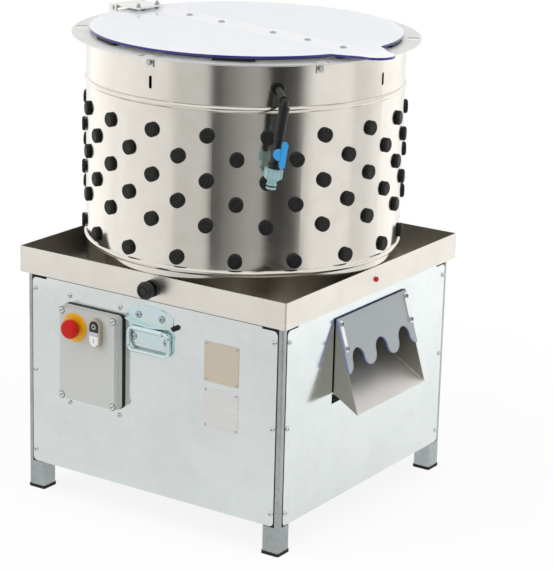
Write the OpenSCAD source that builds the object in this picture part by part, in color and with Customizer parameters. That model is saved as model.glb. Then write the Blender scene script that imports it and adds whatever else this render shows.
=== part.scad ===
// Drum poultry plucker on a square tube stand. Millimetres, +Z up.
// Origin on the floor under the drum's axis; -Y is the control side, +X is the chute side.

/* [Stand] */
// Overhang of the tray past the legs
tray_over = 12; // [10:0.5:16]
// Side of the square leg tube
tube = 40; // [34:1:46]
// Wall of the leg tube
tube_t = 2; // [1.5:0.5:3]
// Corner radius of the leg tube
tube_r = 5; // [4:0.5:7]
// Floor to the underside of the tray
frame_h = 478; // [460:1:520]
// Side of the square rail tube
rail = 24; // [20:1:26]
// Wall of the rail tube
rail_t = 2; // [1.5:0.5:3]
// Floor to the underside of the lower rails
low_rail_z = 70; // [66:1:72]
// Distance of the two cross rails from the drum's axis
cross_x = 37; // [36:1:40]
// Height of a foot cap below its tube
cap_h = 6; // [4:0.5:10]
// Overhang of a foot cap round its tube
cap_over = 1.2; // [0.5:0.1:2]
// Length of a foot cap's plug
plug_h = 16; // [10:1:30]

/* [Panels] */
// Thickness of the cladding sheet
panel_t = 1; // [0.8:0.1:1.5]
// Floor to the lower edge of a panel
panel_z0 = 62; // [50:1:66]
// Gap between a panel's top edge and the tray
panel_gap = 5.5; // [3:0.5:8]
// Strip of leg left bare beside a panel
panel_bare = 13; // [10:0.5:14]
// Corner radius of a panel
panel_r = 10; // [6:1:16]
// Width of the relief notch at a panel's top corner
notch_w = 37; // [30:1:60]
// Height of the relief notch
notch_h = 4; // [3:0.5:8]
// Height of the lowest row of panel screws
screw_z0 = 88.5; // [84:0.5:100]
// Distance of the highest row of panel screws below the tray
screw_top = 33.5; // [30:0.5:40]

/* [Tray] */
// Outer width and depth of the tray
tray_w = 663; // [640:1:720]
// Height of the tray
tray_h = 55; // [50:1:58]
// Thickness of the tray sheet
tray_t = 1.5; // [1:0.1:2]

/* [Drum] */
// Gap between the drum wall and the outside of the tray
drum_gap = 2.5; // [2.5:0.5:12]
// Thickness of the drum wall
drum_t = 1.5; // [1.2:0.1:2]
// Height of the drum above the stand
drum_h = 493.5; // [470:0.5:520]
// Height of the lower rolled bead above the stand
bead_low = 73.5; // [68:0.5:78]
// Distance of the upper bead below the drum's top
bead_down = 90.5; // [86:0.5:98]
// Half height of a bead
bead_half = 6.5; // [5:0.5:8]
// How far a bead stands out
bead_out = 4; // [3:0.5:6]
// Distance of the hanging slots below the drum's top
slot_down = 51.5; // [46:0.5:58]
// Width of a hanging slot
slot_w = 7; // [4:0.5:8]
// Length of a hanging slot
slot_l = 26; // [20:1:32]

/* [Plucking fingers] */
// Fingers in one row of the drum
finger_n = 17; // [13:1:17]
// Turn between neighbouring fingers of a row
finger_pitch = 20.6; // [18:0.1:20.8]
// Direction of the middle finger of the lowest row
finger_ang = -58.1; // [-61:0.1:-55]
// Height of the lowest row of fingers above the lower bead
row_up = 25.5; // [24:0.5:30]
// Step from the lowest row to the next
row_gap = 70; // [66:0.5:74]
// Distance of the highest row of fingers below the upper bead
row_down = 54; // [50:0.5:60]
// Diameter of a finger's hole
finger_hole = 20; // [18:0.5:22]
// Diameter of a finger's head
head_d = 29.5; // [28:0.5:33]
// Thickness of a finger's head
head_t = 8.5; // [8:0.5:13]
// Length of a finger inside its wall
finger_l = 92; // [70:1:96]
// Diameter of a finger at its root
finger_d = 25; // [23:0.5:27]
// Diameter of a finger near its tip
tip_d = 15; // [12:0.5:18]
// Gap between a finger's shoulders and its wall
finger_seat = 0.7; // [0.6:0.1:1]
// Clearance between a finger and its hole
finger_fit = 0.25; // [0.15:0.05:0.4]

/* [Flange] */
// Overhang of the flange ring outside the drum
flange_over = 30; // [22:0.5:40]
// Width of the flange ring inside the drum
flange_lap = 29; // [24:0.5:34]
// Thickness of the flange ring
flange_t = 2.5; // [2:0.1:4]
// Direction of the first flange bolt
flange_ang = 30; // [28:1:32]
// Width of a bent tab
tab_w = 16; // [15:1:20]
// Length of a bent tab
tab_l = 21; // [18:1:22]
// Radius of a flange bolt
bolt_r = 3; // [2.5:0.5:3.5]
// Distance of a flange bolt below the ring
tab_bolt = 11; // [10:0.5:12]

/* [Lid] */
// Distance of the lid's edge inside the drum's outside
lid_in = 6.5; // [4:0.5:10]
// Thickness of the lid sheet
lid_t = 5; // [4:0.5:8]
// Thickness of the rubber pads under the lid
pad_t = 5.7; // [5:0.1:8]
// Direction of the lid's handle and strip
strip_ang = -13; // [-14:1:-12]
// Distance of the lid strip from the lid's edge on the handle side
strip_in_a = 16.5; // [13:0.5:24]
// Distance of the lid strip from the lid's edge on the hinge side
strip_in_b = 22.5; // [17:0.5:26]
// Width of the lid strip
strip_w = 80; // [70:1:90]
// Thickness of the lid strip
strip_t = 3; // [2:0.5:4]
// Reach of the lid's handle beyond the lid's edge
grip_out = 85.5; // [74:0.5:96]
// Radius of the handle's end
grip_r = 38; // [30:1:44]
// Half width of the handle where it leaves the lid
grip_root = 74; // [66:1:80]
// Distance of the last lid screw from the strip's end
lid_screw_in = 26; // [22:1:32]
// Distance of the first lid screw from the centre
lid_screw_a = 78; // [70:1:84]

/* [Lid hinge] */
// Direction of the hinge seen from the centre
hinge_ang = 172.5; // [171:0.5:174]
// Distance of the hinge pin inside the flange's edge
pin_in = 10; // [9:0.5:12]
// Height of the hinge pin above the flange
pin_up = 12; // [11.5:0.5:13]
// Radius of the hinge pin
pin_r = 3; // [2.5:0.1:3.5]
// Half width of the hinge leaf
leaf_half = 40; // [36:1:44]
// Thickness of the hinge plates
leaf_t = 3; // [2.5:0.5:3]
// Distance of the leaf bolts inside the lid's edge
leaf_bolt_in = 37.5; // [32:0.5:40]
// Half distance between the leaf bolts
leaf_bolt_y = 28; // [24:1:30]
// Height of the leaf's top above the flange
leaf_up = 19; // [18.5:0.5:20]

/* [Water inlet] */
// Direction of the water inlet
water_ang = -45; // [-46:0.5:-44]
// Distance of the water inlet below the drum's top
water_down = 48.5; // [46:0.5:54]
// Distance of the hanging pipe from the drum wall
water_out = 76; // [60:1:80]
// Drop of the pipe's elbow below the inlet
water_drop = 11; // [6:1:14]
// Lean of the hanging pipe
water_lean = 8; // [4:0.5:9]
// Radius of the water pipe
pipe_r = 7; // [6:0.1:7.5]
// Radius of the pipe sleeve
sleeve_r = 10.5; // [10:0.1:11]
// Number of ribs on the pipe sleeve
sleeve_ribs = 15; // [9:2:21]
// Length of the pipe sleeve
sleeve_l = 60; // [54:1:66]
// Length of the tap body
tap_l = 55; // [52:1:60]
// Radius of the tap body
tap_r = 8.5; // [8:0.1:9]
// Length of the tap lever
lever_l = 52; // [48:1:58]
// Width of the tap lever
lever_w = 11; // [9:0.5:12]
// Radius of the hose connector
conn_r = 18; // [16:0.5:19]
// Radius of the hose spigot
spigot_r = 10; // [9.5:0.1:10.5]
// Radius of the spigot's sealing ring section
seal_r = 1.2; // [1:0.1:1.4]

/* [Chute] */
// Half width of the chute
chute_half = 134.5; // [125:0.5:138]
// Thickness of the chute sheet
chute_t = 1.5; // [1.2:0.1:2]
// Reach of the chute's lip from the cladding
lip_out = 60; // [50:1:75]
// Drop of the chute's lip below its hood
lip_down = 191; // [180:1:196]
// Rise of the chute floor per unit of run
chute_slope = 0.6; // [0.58:0.01:0.61]
// Gap between the chute's hood and the rail above it
hood_gap = 3; // [3:0.5:8]
// Inner end of the chute
chute_in = 53; // [52:1:60]
// Gap between the chute and the cladding
chute_gap = 3.5; // [2:0.5:6]
// Width of the chute's folded front edges
edge_w = 18; // [17:0.5:24]
// Length of the chute's folded front edges
edge_l = 84; // [78:1:100]
// Thickness of the clear guard
guard_t = 4; // [3:0.5:6]
// Pitch of the scallops along the guard's edge
scallop = 90; // [84:1:90]
// Distance along the guard to the middle of its scallops
guard_l = 92; // [84:1:100]
// Width of a clamp strip
clamp_w = 11; // [9:0.5:13]
// Length of a clamp strip
clamp_l = 66; // [60:1:72]
// Thickness of a clamp strip
clamp_t = 2; // [1.5:0.5:3]
// Radius of the guard bolts
guard_bolt_r = 2.5; // [2:0.5:3]
// Distance of the upper guard bolt from the guard's top
guard_bolt_a = 13; // [10:0.5:16]
// Distance between the two bolts of a clamp strip
guard_bolt_step = 50; // [40:1:54]

/* [Control box] */
// Distance of the box's centre from the stand's left side
box_in = 177; // [170:0.5:185]
// Distance of the box's centre below the tray
box_down = 149; // [142:1:158]
// Width of the box body
box_w = 142; // [136:1:150]
// Height of the box body
box_h = 193; // [186:1:200]
// Margin of the rim round the body
rim = 4; // [3:0.5:5]
// Depth of the lid's rim
rim_d = 9; // [6:0.5:12]
// Depth of the lid's raised body
lid_d = 12; // [9:0.5:16]
// Thickness of the rubber seal
seal_t = 5; // [3:0.5:7]
// Depth of the base behind the cladding
base_d = 60; // [50:1:70]
// Wall of the box
box_t = 3; // [2:0.5:4]
// Distance of the box's fixing screws above and below its body
box_fix_out = 20.1; // [16:0.1:23]
// Distance of the box's fixing screws inside its sides
box_fix_in = 5.8; // [3:0.1:11]
// Corner radius of the box
box_r = 8; // [6:1:12]

/* [Controls] */
// Sideways place of the stop mushroom from the box's centre
estop_x = -31; // [-33:0.5:-30]
// Sideways place of the twin button from the box's centre
twin_x = 27.5; // [26:0.5:34]
// Distance of the controls below the box's top
ctl_down = 35.5; // [34.5:0.5:46.5]
// Radius of the stop mushroom's disc
disc_r = 30; // [28:0.5:31]
// Thickness of the disc
disc_t = 1.5; // [1:0.1:2]
// Radius of the mushroom head
mush_r = 20; // [17:0.5:22]
// Length of the mushroom head
mush_l = 18; // [15:0.5:22]
// Gap between the mushroom head and the disc
mush_gap = 6; // [5:0.5:9]
// Width of the twin button's bezel
bezel_w = 28; // [26:0.5:32]
// Height of the twin button's bezel
bezel_h = 60; // [56:0.5:66]
// Depth of the twin button's bezel
bezel_d = 12; // [10:0.5:14]
// Rim of the bezel round the buttons
bezel_rim = 3; // [2.5:0.1:4]
// Height of the lamp band between the buttons
band_h = 8; // [6:0.5:10]
// Travel of a push button
push = 3; // [2:0.5:3.5]

/* [Carrying handle] */
// Gap between the control box and the handle plate
grab_gap = 14.5; // [12:0.5:18]
// Half width of the handle plate
grab_half = 57; // [54:0.5:62]
// Distance of the plate's shoulders below the tray
grab_down = 31; // [28:1:34]
// Rise of the plate's arched top
grab_arch = 15; // [10:1:18]
// Height of the plate below its shoulders
grab_h = 69; // [62:1:74]
// Thickness of the plate
grab_t = 1.5; // [1:0.1:2]
// Distance of the bail's pivot below the tray
bail_down = 65; // [62:1:68]
// Distance of the pivot from the cladding
bail_out = 9; // [8.5:0.5:11]
// Radius of the bail's rod
bail_r = 4; // [3.5:0.1:4.5]
// Half width of the bail
bail_half = 50; // [48:0.5:53]
// Drop of the bail below its pivot
bail_drop = 48; // [44:1:52]
// Corner radius of the bail
bail_c = 11; // [8:0.5:12]
// Half length of the pivot barrel
barrel_half = 37; // [30:1:38]
// Wall of the pivot barrel
barrel_t = 2; // [1.5:0.1:2.5]
// Sag of the lip above the barrel
grab_lip_sag = 9; // [6:0.5:12]
// Thickness of the lip
grab_lip_t = 2.5; // [1.5:0.1:3]
// Radial running clearance of pins and shafts
run_fit = 0.05; // [0.03:0.01:0.09]

/* [Plates] */
// Distance of the rating plates' inner edge from the stand's right side
plate_in = 186; // [180:0.5:192]
// Side of a rating plate
plate_w = 84; // [76:1:90]
// Distance of the upper plate's lower edge below the tray
plate_down = 144.5; // [138:0.5:148]
// Step from the upper plate to the lower one
plate_step = 96.5; // [94:0.5:104]
// Thickness of a rating plate
plate_t = 0.8; // [0.5:0.1:1.5]
// Distance of a rivet from the plate's edges
rivet_in = 5; // [4:0.5:8]

/* [Fittings] */
// Sideways place of the drain
drain_x = 14; // [10:1:20]
// Height of the drain and of the indicator above the stand
drain_up = 28; // [26:1:30]
// Radius of the drain cap
drain_r = 18.5; // [16:0.5:20]
// Length of the drain fitting in front of the tray
drain_l = 19; // [16:1:26]
// Length of the drain cap
drain_cap_l = 16; // [15:1:22]
// Radius of the indicator
lamp_r = 5.5; // [4.5:0.5:7]

/* [Drive] */
// Distance of the rotating plate inside the drum wall
disc_in = 15; // [11:0.5:30]
// Thickness of the rotating plate
disc_plate_t = 5; // [4:0.5:6]
// Height of the rotating plate's underside above the stand
disc_up = 37; // [32:1:40]
// Distance of the outer finger ring inside the drum wall
ring_in = 129; // [124:1:140]
// Distance of the inner finger ring from the hub
ring_gap = 37.5; // [30:0.5:45]
// Width of the hub round the shaft
hub_w = 30; // [24:1:34]
// Fingers on the innermost ring
ring_n = 4; // [3:1:5]
// Radius of the main shaft
shaft_r = 12.5; // [10:0.5:14]
// Outer radius of a bearing
bearing_r = 26; // [24:0.5:28]
// Width of a bearing
bearing_w = 15; // [12:0.5:17]
// Length of the bearing housing below the rails
housing_l = 70; // [60:1:80]
// Half side of the housing's flange
housing_half = 48; // [44:1:49]
// Pitch radius of the large pulley
pulley_r = 80; // [70:1:84]
// Pitch radius of the motor pulley
motor_pulley_r = 32; // [26:1:36]
// Width of the pulleys
pulley_w = 22; // [18:1:24]
// Gap between the housing and the large pulley
pulley_gap = 8; // [6:1:12]
// Sideways place of the motor
motor_x = -185; // [-190:1:-182]
// Radius of the motor body
motor_r = 62; // [56:1:66]
// Length of the motor body
motor_l = 190; // [160:1:200]
// Thickness of the motor plate
motor_plate_t = 8; // [6:1:10]
// Gap between the motor plate and the pulleys
motor_gap = 8; // [6:1:10]
// Half depth of the motor plate
motor_half = 122; // [118:1:130]
// Radius of the motor shaft
motor_shaft_r = 9.5; // [8:0.5:11]

/* [Hidden] */
$fn = 48;

// Small clearance between parts of one assembly
fit = 0.3;
// Overcut that keeps faces from coinciding
eps = 0.5;
// Zinc grey of the galvanised tube
galv = [0.66, 0.69, 0.70];
// Pale blue grey of the cladding
clad = [0.80, 0.85, 0.86];
// Warm stainless sheet
inox = [0.78, 0.76, 0.72];
// Black rubber
black = [0.06, 0.06, 0.06];
// Clear sheet with a blue edge
clear = [0.85, 0.90, 0.96, 0.6];
// Light grey moulding
grey = [0.74, 0.75, 0.73];
// Bright fasteners
bright = [0.72, 0.74, 0.75];
// Outer width and depth of the four legs
leg_span = tray_w - 2 * tray_over;
// Outer radius and top of the drum wall
drum_r = tray_w / 2 - drum_gap;
drum_top = frame_h + drum_h;
// Heights of the two beads and of the hanging slots
bead_z_low = frame_h + bead_low;
bead_z_high = drum_top - bead_down;
slot_z = drum_top - slot_down;
// Height of the lowest row of fingers and step between the upper rows
row_z = bead_z_low + row_up;
row_step = (bead_z_high - row_down - row_z - row_gap) / 4;
// Outer and inner radius of the flange ring
flange_r = drum_r + flange_over;
flange_in = drum_r - flange_lap;
// Radius of the lid, reach of its handle and lengths of its strip
lid_r = drum_r - lid_in;
grip_reach = lid_r + grip_out;
strip_a = lid_r - strip_in_a;
strip_b = lid_r - strip_in_b;
lid_screw_step = (strip_a - lid_screw_in - lid_screw_a) / 2;
// Distances of the hinge pin and the leaf bolts from the drum's axis
pin_x = flange_r - pin_in;
leaf_bolt_x = lid_r - leaf_bolt_in;
// Height of the water inlet
water_z = drum_top - water_down;
// Places of the control box, the handle and the rating plates
box_x = box_in - leg_span / 2;
box_z = frame_h - box_down;
box_fix_x = box_w / 2 - box_fix_in;
box_fix_z = box_h / 2 + box_fix_out;
grab_x = box_x + box_w / 2 + grab_gap + grab_half;
grab_top = frame_h - grab_down;
grab_low = grab_top - grab_h;
bail_z = frame_h - bail_down;
plate_x = leg_span / 2 - plate_in;
plate_z_high = frame_h - plate_down;
plate_z_low = plate_z_high - plate_step;
// Height of the drain and of the indicator
drain_z = frame_h + drain_up;
// Rotating plate: radius, underside and outer ring of fingers
disc_plate_r = drum_r - disc_in;
disc_plate_z = frame_h + disc_up;
ring_r = drum_r - ring_in;
// Hub under the plate, and the step between the rings
hub_r = shaft_r + hub_w;
ring_step = (ring_r - hub_r - ring_gap) / 2;
// Centre line of a leg
leg_c = leg_span / 2 - tube / 2;
// Outer face of the cladding
face = leg_span / 2 + panel_t;
// Half width of a panel
panel_half = leg_span / 2 - panel_bare;
// Top edge of a panel
panel_top = frame_h - panel_gap;
// Underside of the top rails
rail_z = frame_h - rail;
// Top of the chute's hood and height of its lip
hood_z = rail_z - hood_gap;
lip_z = hood_z - lip_down;
// Top of the tray floor
floor_z = frame_h + tray_t;
// Heights of the panel screws
screw_step = (frame_h - screw_top - screw_z0) / 2;
screw_zs = [for (k = [0 : 2]) screw_z0 + k * screw_step];
// Shank and hole of a panel screw
shank_r = 2.5;
shank_hole = shank_r + fit;
// Length of a panel screw below its head
shank_l = 9;
// Outer face of the tray
tray_face = tray_w / 2;
// Top of the flange ring
flange_z = drum_top + flange_t;
// Underside of the lid
lid_z = flange_z + fit + pad_t;
// Top of the lid
lid_top = lid_z + lid_t;
// Angles of the lid pads
pad_angs = [-118, -60, -14, 17, 77, 132];
// Half angle of a pad
pad_half = 7.5;
// Radial width of a pad
pad_w = 13;
// Height of the hinge pin
pin_z = flange_z + pin_up;
// Top of the hinge leaf
leaf_z = flange_z + leaf_up;
// Shank of the lid screws
lid_shank = 2.5;
// Radius of the hanging pipe's axis
water_r = drum_r + water_out;
// Straight start of the pipe and the fall of its stub
stub_out = 9;
stub_ang = atan(water_drop / (water_out - stub_out));
stub_l = (water_out - stub_out) / cos(stub_ang);
// Distances down the hanging pipe
sleeve_a = 13;
tap_a = sleeve_a + sleeve_l + fit;
conn_a = tap_a + tap_l + fit;
lever_a = tap_a + tap_l / 2 - 3.5;
lever_n = conn_r + 0.5;
// Length of the hose connector
conn_l = 41;
// Place of the ring on the hose connector
ring_a = conn_a + conn_l - 6.5;
// Run and drop of the hood's sloping edge
hood_run = lip_out - 1;
hood_drop = hood_z - lip_z;
hood_ang = atan(hood_run / hood_drop);
hood_l = sqrt(hood_run * hood_run + hood_drop * hood_drop);
// Lower edge of the cladding's opening for the chute
mouth_z = lip_z + chute_slope * lip_out - chute_t - 22;
// Distance of the clamp strips from the chute's middle
clamp_x = chute_half - clamp_w / 2 - 3;
// Inner limit of the hood under the top rail
hood_in = leg_c - rail / 2 - 4;
// Front face of the control box's lid
lid_face = face + seal_t + rim_d + lid_d;
// Corner screws of the control box
corner_x = box_w / 2 - 5;
corner_z = box_h / 2 - 5;
// Half opening of the cladding behind the control box
cut_x = corner_x - 9;
cut_z = corner_z - 9;
// Places of the controls
ctl_z = box_z + box_h / 2 - ctl_down;
stop_c = [box_x + estop_x, ctl_z];
twin_c = [box_x + twin_x, ctl_z];
// Heads of the push buttons above the bezel
button_out = 1.5;
// Rear end of the control shanks
control_in = face - 20;
// Pulley heights
housing_z0 = rail_z - housing_l;
pulley_z1 = housing_z0 - pulley_gap;
pulley_z0 = pulley_z1 - pulley_w;
motor_top = pulley_z0 - motor_gap - motor_plate_t;
// Radius of the neck round the shaft
neck_r = bearing_r;
// Half width of a pulley groove at its rim and at its foot
groove = 6;
groove_low = 3.5;
// Depth of a groove below and height of its rim above the pitch line
groove_in = 8;
groove_out = 2;
// Belt below and above the pitch line
belt_in = 3;
belt_out = 4;
// Half width of the belt where its lower corners meet the groove
belt_half = groove_low + (groove_in - belt_in) * (groove - groove_low) / (groove_in + groove_out) - fit;
// Screw places on the handle plate
grab_screws = [for (s = [-1, 1], p = [[29, grab_top - 7], [41, grab_low + 14]]) [grab_x + s * p[0], p[1]]];
// Rivet places on the rating plates
rivet_pts = [for (z = [plate_z_low, plate_z_high], i = [0, 1], k = [0, 1])
  [plate_x + rivet_in + i * (plate_w - 2 * rivet_in), z + rivet_in + k * (plate_w - 2 * rivet_in)]];

// Direction of finger i and height of row k of the drum
function finger_a(k, i) = finger_ang + (i - (finger_n - 1) / 2 + 0.5 * (k % 2)) * finger_pitch;
function finger_z(k) = k == 0 ? row_z : row_z + row_gap + (k - 1) * row_step;

// Rounded rectangle about the origin
module rsq(w, h, r) {
  square([w - 2 * r, h], center = true);
  square([w, h - 2 * r], center = true);
  for (sx = [-1, 1], sy = [-1, 1])
    translate([sx * (w / 2 - r), sy * (h / 2 - r)])
      circle(r);
}

// Slot with round ends, standing along Y
module stadium(w, h) {
  square([w, h - w], center = true);
  for (s = [-1, 1])
    translate([0, s * (h - w) / 2])
      circle(w / 2);
}

// Turns a shape drawn in X and Y to stand on the control side, with depth towards -Y
module front(y) {
  translate([0, -y, 0])
    rotate([90, 0, 0])
      children();
}

// Repeats a child drawn for the control side round the four sides
module four_sides() {
  for (a = [0 : 90 : 270])
    rotate([0, 0, a])
      children();
}

// Square tube along Z
module tube_z(w, t, r, l) {
  linear_extrude(l)
    difference() {
      rsq(w, w, r);
      rsq(w - 2 * t, w - 2 * t, r - t);
    }
}

// Square rail along X
module rail_x(l) {
  translate([-l / 2, 0, 0])
    rotate([0, 90, 0])
      tube_z(rail, rail_t, rail_t + 0.5, l);
}

// Pan head screw along +Z, its head standing above the seat at Z 0
module pan_screw(r, h, s, l) {
  rotate_extrude()
    polygon([[0, -l], [s, -l], [s, 0], [r, 0], [r, 0.45 * h], [0.75 * r, 0.9 * h], [0.4 * r, h], [0, h]]);
}

module legs() {
  color(galv)
    difference() {
      for (sx = [-1, 1], sy = [-1, 1])
        translate([sx * leg_c, sy * leg_c, cap_h])
          tube_z(tube, tube_t, tube_r, frame_h - cap_h);
      four_sides()
        for (s = [-1, 1], z = screw_zs)
          translate([s * leg_c, -leg_span / 2 - 1, z])
            rotate([-90, 0, 0])
              cylinder(r = shank_hole, h = tube_t + 2);
    }
}

module frame_rails() {
  color(galv) {
    for (z = [rail_z, low_rail_z])
      four_sides()
        translate([0, -leg_c, z + rail / 2])
          rail_x(leg_span - 2 * tube);
    for (s = [-1, 1])
      translate([s * cross_x, 0, rail_z + rail / 2])
        rotate([0, 0, 90])
          rail_x(2 * leg_c - rail - 2 * fit);
  }
}

module foot_caps() {
  color(black)
    for (sx = [-1, 1], sy = [-1, 1])
      translate([sx * leg_c, sy * leg_c, 0]) {
        linear_extrude(cap_h)
          rsq(tube + 2 * cap_over, tube + 2 * cap_over, tube_r);
        linear_extrude(cap_h + plug_h)
          rsq(tube - 2 * tube_t - 2 * fit, tube - 2 * tube_t - 2 * fit, tube_r - tube_t - fit);
      }
}

// Plain cladding panel on the control side, with its screw holes
module panel_blank() {
  front(leg_span / 2)
    linear_extrude(panel_t)
      difference() {
        union() {
          translate([0, (panel_z0 + panel_top - notch_h) / 2])
            rsq(2 * panel_half, panel_top - notch_h - panel_z0, panel_r);
          translate([notch_w - panel_half, panel_top - 2 * notch_h])
            square([2 * (panel_half - notch_w), 2 * notch_h]);
        }
        for (s = [-1, 1], z = screw_zs)
          translate([s * leg_c, z])
            circle(shank_hole);
      }
}

module front_panel() {
  color(clad)
    difference() {
      panel_blank();
      front(leg_span / 2 - eps)
        linear_extrude(panel_t + 2 * eps) {
          translate([box_x, box_z])
            square([2 * cut_x, 2 * cut_z], center = true);
          for (sx = [-1, 1], sz = [-1, 1]) {
            translate([box_x + sx * box_fix_x, box_z + sz * box_fix_z])
              circle(shank_hole);
            translate([box_x + sx * corner_x, box_z + sz * corner_z])
              circle(shank_hole);
          }
          for (p = grab_screws)
            translate(p)
              circle(shank_hole);
        }
    }
}

module right_panel() {
  color(clad)
    difference() {
      rotate([0, 0, 90])
        panel_blank();
      translate([leg_span / 2 - eps, -chute_half - chute_gap, mouth_z])
        cube([panel_t + 2 * eps, 2 * (chute_half + chute_gap), hood_z + 2 - mouth_z]);
    }
}

module rear_panel() {
  color(clad)
    rotate([0, 0, 180])
      panel_blank();
}

module left_panel() {
  color(clad)
    rotate([0, 0, 270])
      panel_blank();
}

module panel_screws() {
  color(bright) {
    four_sides()
      for (s = [-1, 1], z = screw_zs)
        translate([s * leg_c, -face, z])
          rotate([90, 0, 0])
            pan_screw(5.5, 3.2, shank_r, shank_l);
    for (sx = [-1, 1], sz = [-1, 1])
      translate([box_x + sx * box_fix_x, -face, box_z + sz * box_fix_z])
        rotate([90, 0, 0])
          pan_screw(5.5, 3.2, shank_r, shank_l);
  }
}

module tray() {
  color(inox)
    difference() {
      translate([0, 0, frame_h])
        linear_extrude(tray_h)
          rsq(tray_w, tray_w, 4);
      translate([0, 0, floor_z])
        linear_extrude(tray_h)
          rsq(tray_w - 2 * tray_t, tray_w - 2 * tray_t, 4 - tray_t);
      translate([0, 0, frame_h - eps])
        cylinder(r = neck_r + 1, h = tray_t + 2 * eps);
      translate([chute_in + chute_t, -chute_half + chute_t, frame_h - eps])
        cube([hood_in - chute_in - 2 * chute_t, 2 * (chute_half - chute_t), tray_t + 2 * eps]);
      translate([drain_x, -tray_face - eps, drain_z])
        rotate([-90, 0, 0])
          cylinder(r = 8 + fit, h = tray_t + 2 * eps);
      translate([tray_face - tray_t - eps, 0, drain_z])
        rotate([0, 90, 0])
          cylinder(r = lamp_r - 1.5 + fit, h = tray_t + 2 * eps);
    }
}

// Outline of one rolled bead, as an arc from wall to wall
module bead_outline(r, z, grow) {
  intersection() {
    translate([r - (bead_half * bead_half - bead_out * bead_out) / (2 * bead_out), z])
      circle((bead_half * bead_half + bead_out * bead_out) / (2 * bead_out) + grow);
    translate([r - drum_t, z - 2 * bead_half])
      square([4 * bead_out, 4 * bead_half]);
  }
}

module drum_shell() {
  color(inox)
    difference() {
      rotate_extrude($fn = 96)
        difference() {
          union() {
            translate([drum_r - drum_t, floor_z])
              square([drum_t, drum_top - floor_z]);
            bead_outline(drum_r, bead_z_low, 0);
            bead_outline(drum_r, bead_z_high, 0);
          }
          translate([-drum_t, 0]) {
            bead_outline(drum_r, bead_z_low, 0);
            bead_outline(drum_r, bead_z_high, 0);
          }
        }
      for (k = [0 : 5], i = [0 : finger_n - 1])
        rotate([0, 0, finger_a(k, i)])
          translate([drum_r - 8, 0, finger_z(k)])
            rotate([0, 90, 0])
              cylinder(d = finger_hole, h = 16);
      for (a = [-90 : 90 : 180])
        rotate([0, 0, a])
          translate([drum_r - 8, 0, slot_z])
            rotate([90, 0, 90])
              linear_extrude(16)
                stadium(slot_w, slot_l);
      for (k = [0 : 5])
        rotate([0, 0, flange_ang + 60 * k])
          translate([drum_r - 8, 0, drum_top - tab_bolt])
            rotate([0, 90, 0])
              cylinder(r = bolt_r + fit, h = 16);
      rotate([0, 0, water_ang])
        translate([drum_r - 8, 0, water_z])
          rotate([0, 90, 0])
            cylinder(r = pipe_r + 4 + fit, h = 16);
    }
}

// Rubber finger along +Z through a wall of thickness t that lies from Z -t to Z 0
module finger(t) {
  h = head_d / 2;
  n = finger_hole / 2 - finger_fit;
  rotate_extrude($fn = 32)
    polygon([[0, -t - head_t], [h - 3, -t - head_t], [h, -t - head_t + 2.5], [h, -t - finger_seat],
      [n, -t - finger_seat], [n, finger_seat], [finger_d / 2, finger_seat], [finger_d / 2 - 0.8, 8],
      [tip_d / 2, finger_l - 3],
      [tip_d / 2 - 3, finger_l], [0, finger_l]]);
}

// One row of fingers through the drum wall
module finger_row(k) {
  color(black)
    for (i = [0 : finger_n - 1])
      rotate([0, 0, finger_a(k, i)])
        translate([drum_r - drum_t, 0, finger_z(k)])
          rotate([0, -90, 0])
            finger(drum_t);
}

module drum_fingers_1() {
  finger_row(0);
}

module drum_fingers_2() {
  finger_row(1);
}

module drum_fingers_3() {
  finger_row(2);
}

module drum_fingers_4() {
  finger_row(3);
}

module drum_fingers_5() {
  finger_row(4);
}

module drum_fingers_6() {
  finger_row(5);
}

module flange_ring() {
  color(inox)
    difference() {
      union() {
        translate([0, 0, drum_top])
          linear_extrude(flange_t)
            difference() {
              circle(flange_r, $fn = 96);
              circle(flange_in, $fn = 96);
            }
        for (k = [0 : 5])
          rotate([0, 0, flange_ang + 60 * k])
            translate([drum_r + fit, -tab_w / 2, drum_top - tab_l])
              cube([flange_t, tab_w, tab_l + flange_t / 2]);
      }
      for (k = [0 : 5])
        rotate([0, 0, flange_ang + 60 * k]) {
          translate([drum_r + fit + flange_t, -tab_w / 2 - 4, drum_top - eps])
            cube([tab_l, tab_w + 8, flange_t + 2 * eps]);
          translate([drum_r, 0, drum_top - tab_bolt])
            rotate([0, 90, 0])
              cylinder(r = bolt_r + fit, h = 2 * flange_t + 2);
        }
    }
}

module flange_bolts() {
  color(bright)
    for (k = [0 : 5])
      rotate([0, 0, flange_ang + 60 * k])
        translate([drum_r + fit + flange_t, 0, drum_top - tab_bolt])
          rotate([0, 90, 0]) {
            cylinder(r = 7, h = 1.2);
            cylinder(r = 5.5, h = 5, $fn = 6);
            translate([0, 0, -flange_t - drum_t - 6])
              cylinder(r = bolt_r, h = flange_t + drum_t + 7);
          }
}

module hinge_bracket() {
  color(inox)
    rotate([0, 0, hinge_ang])
      translate([0, 0, flange_z]) {
        difference() {
          union() {
            translate([pin_x - 13, -leaf_half - leaf_t - fit, 0])
              cube([23, 2 * (leaf_half + leaf_t + fit), leaf_t]);
            for (s = [-1, 1])
              translate([pin_x - 13, s > 0 ? leaf_half + fit : -leaf_half - fit - leaf_t, 0])
                cube([23, leaf_t, pin_up + 8]);
          }
          translate([pin_x, 0, pin_up])
            rotate([90, 0, 0])
              cylinder(r = pin_r + run_fit, h = 4 * leaf_half, center = true);
        }
        translate([pin_x, 0, pin_up])
          rotate([90, 0, 0]) {
            cylinder(r = pin_r, h = 2 * (leaf_half + leaf_t + fit) + 4, center = true);
            for (s = [-1, 1])
              translate([0, 0, s * (leaf_half + leaf_t + fit + 2.2)])
                cylinder(r = pin_r + 2, h = 3, center = true);
          }
      }
}

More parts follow.
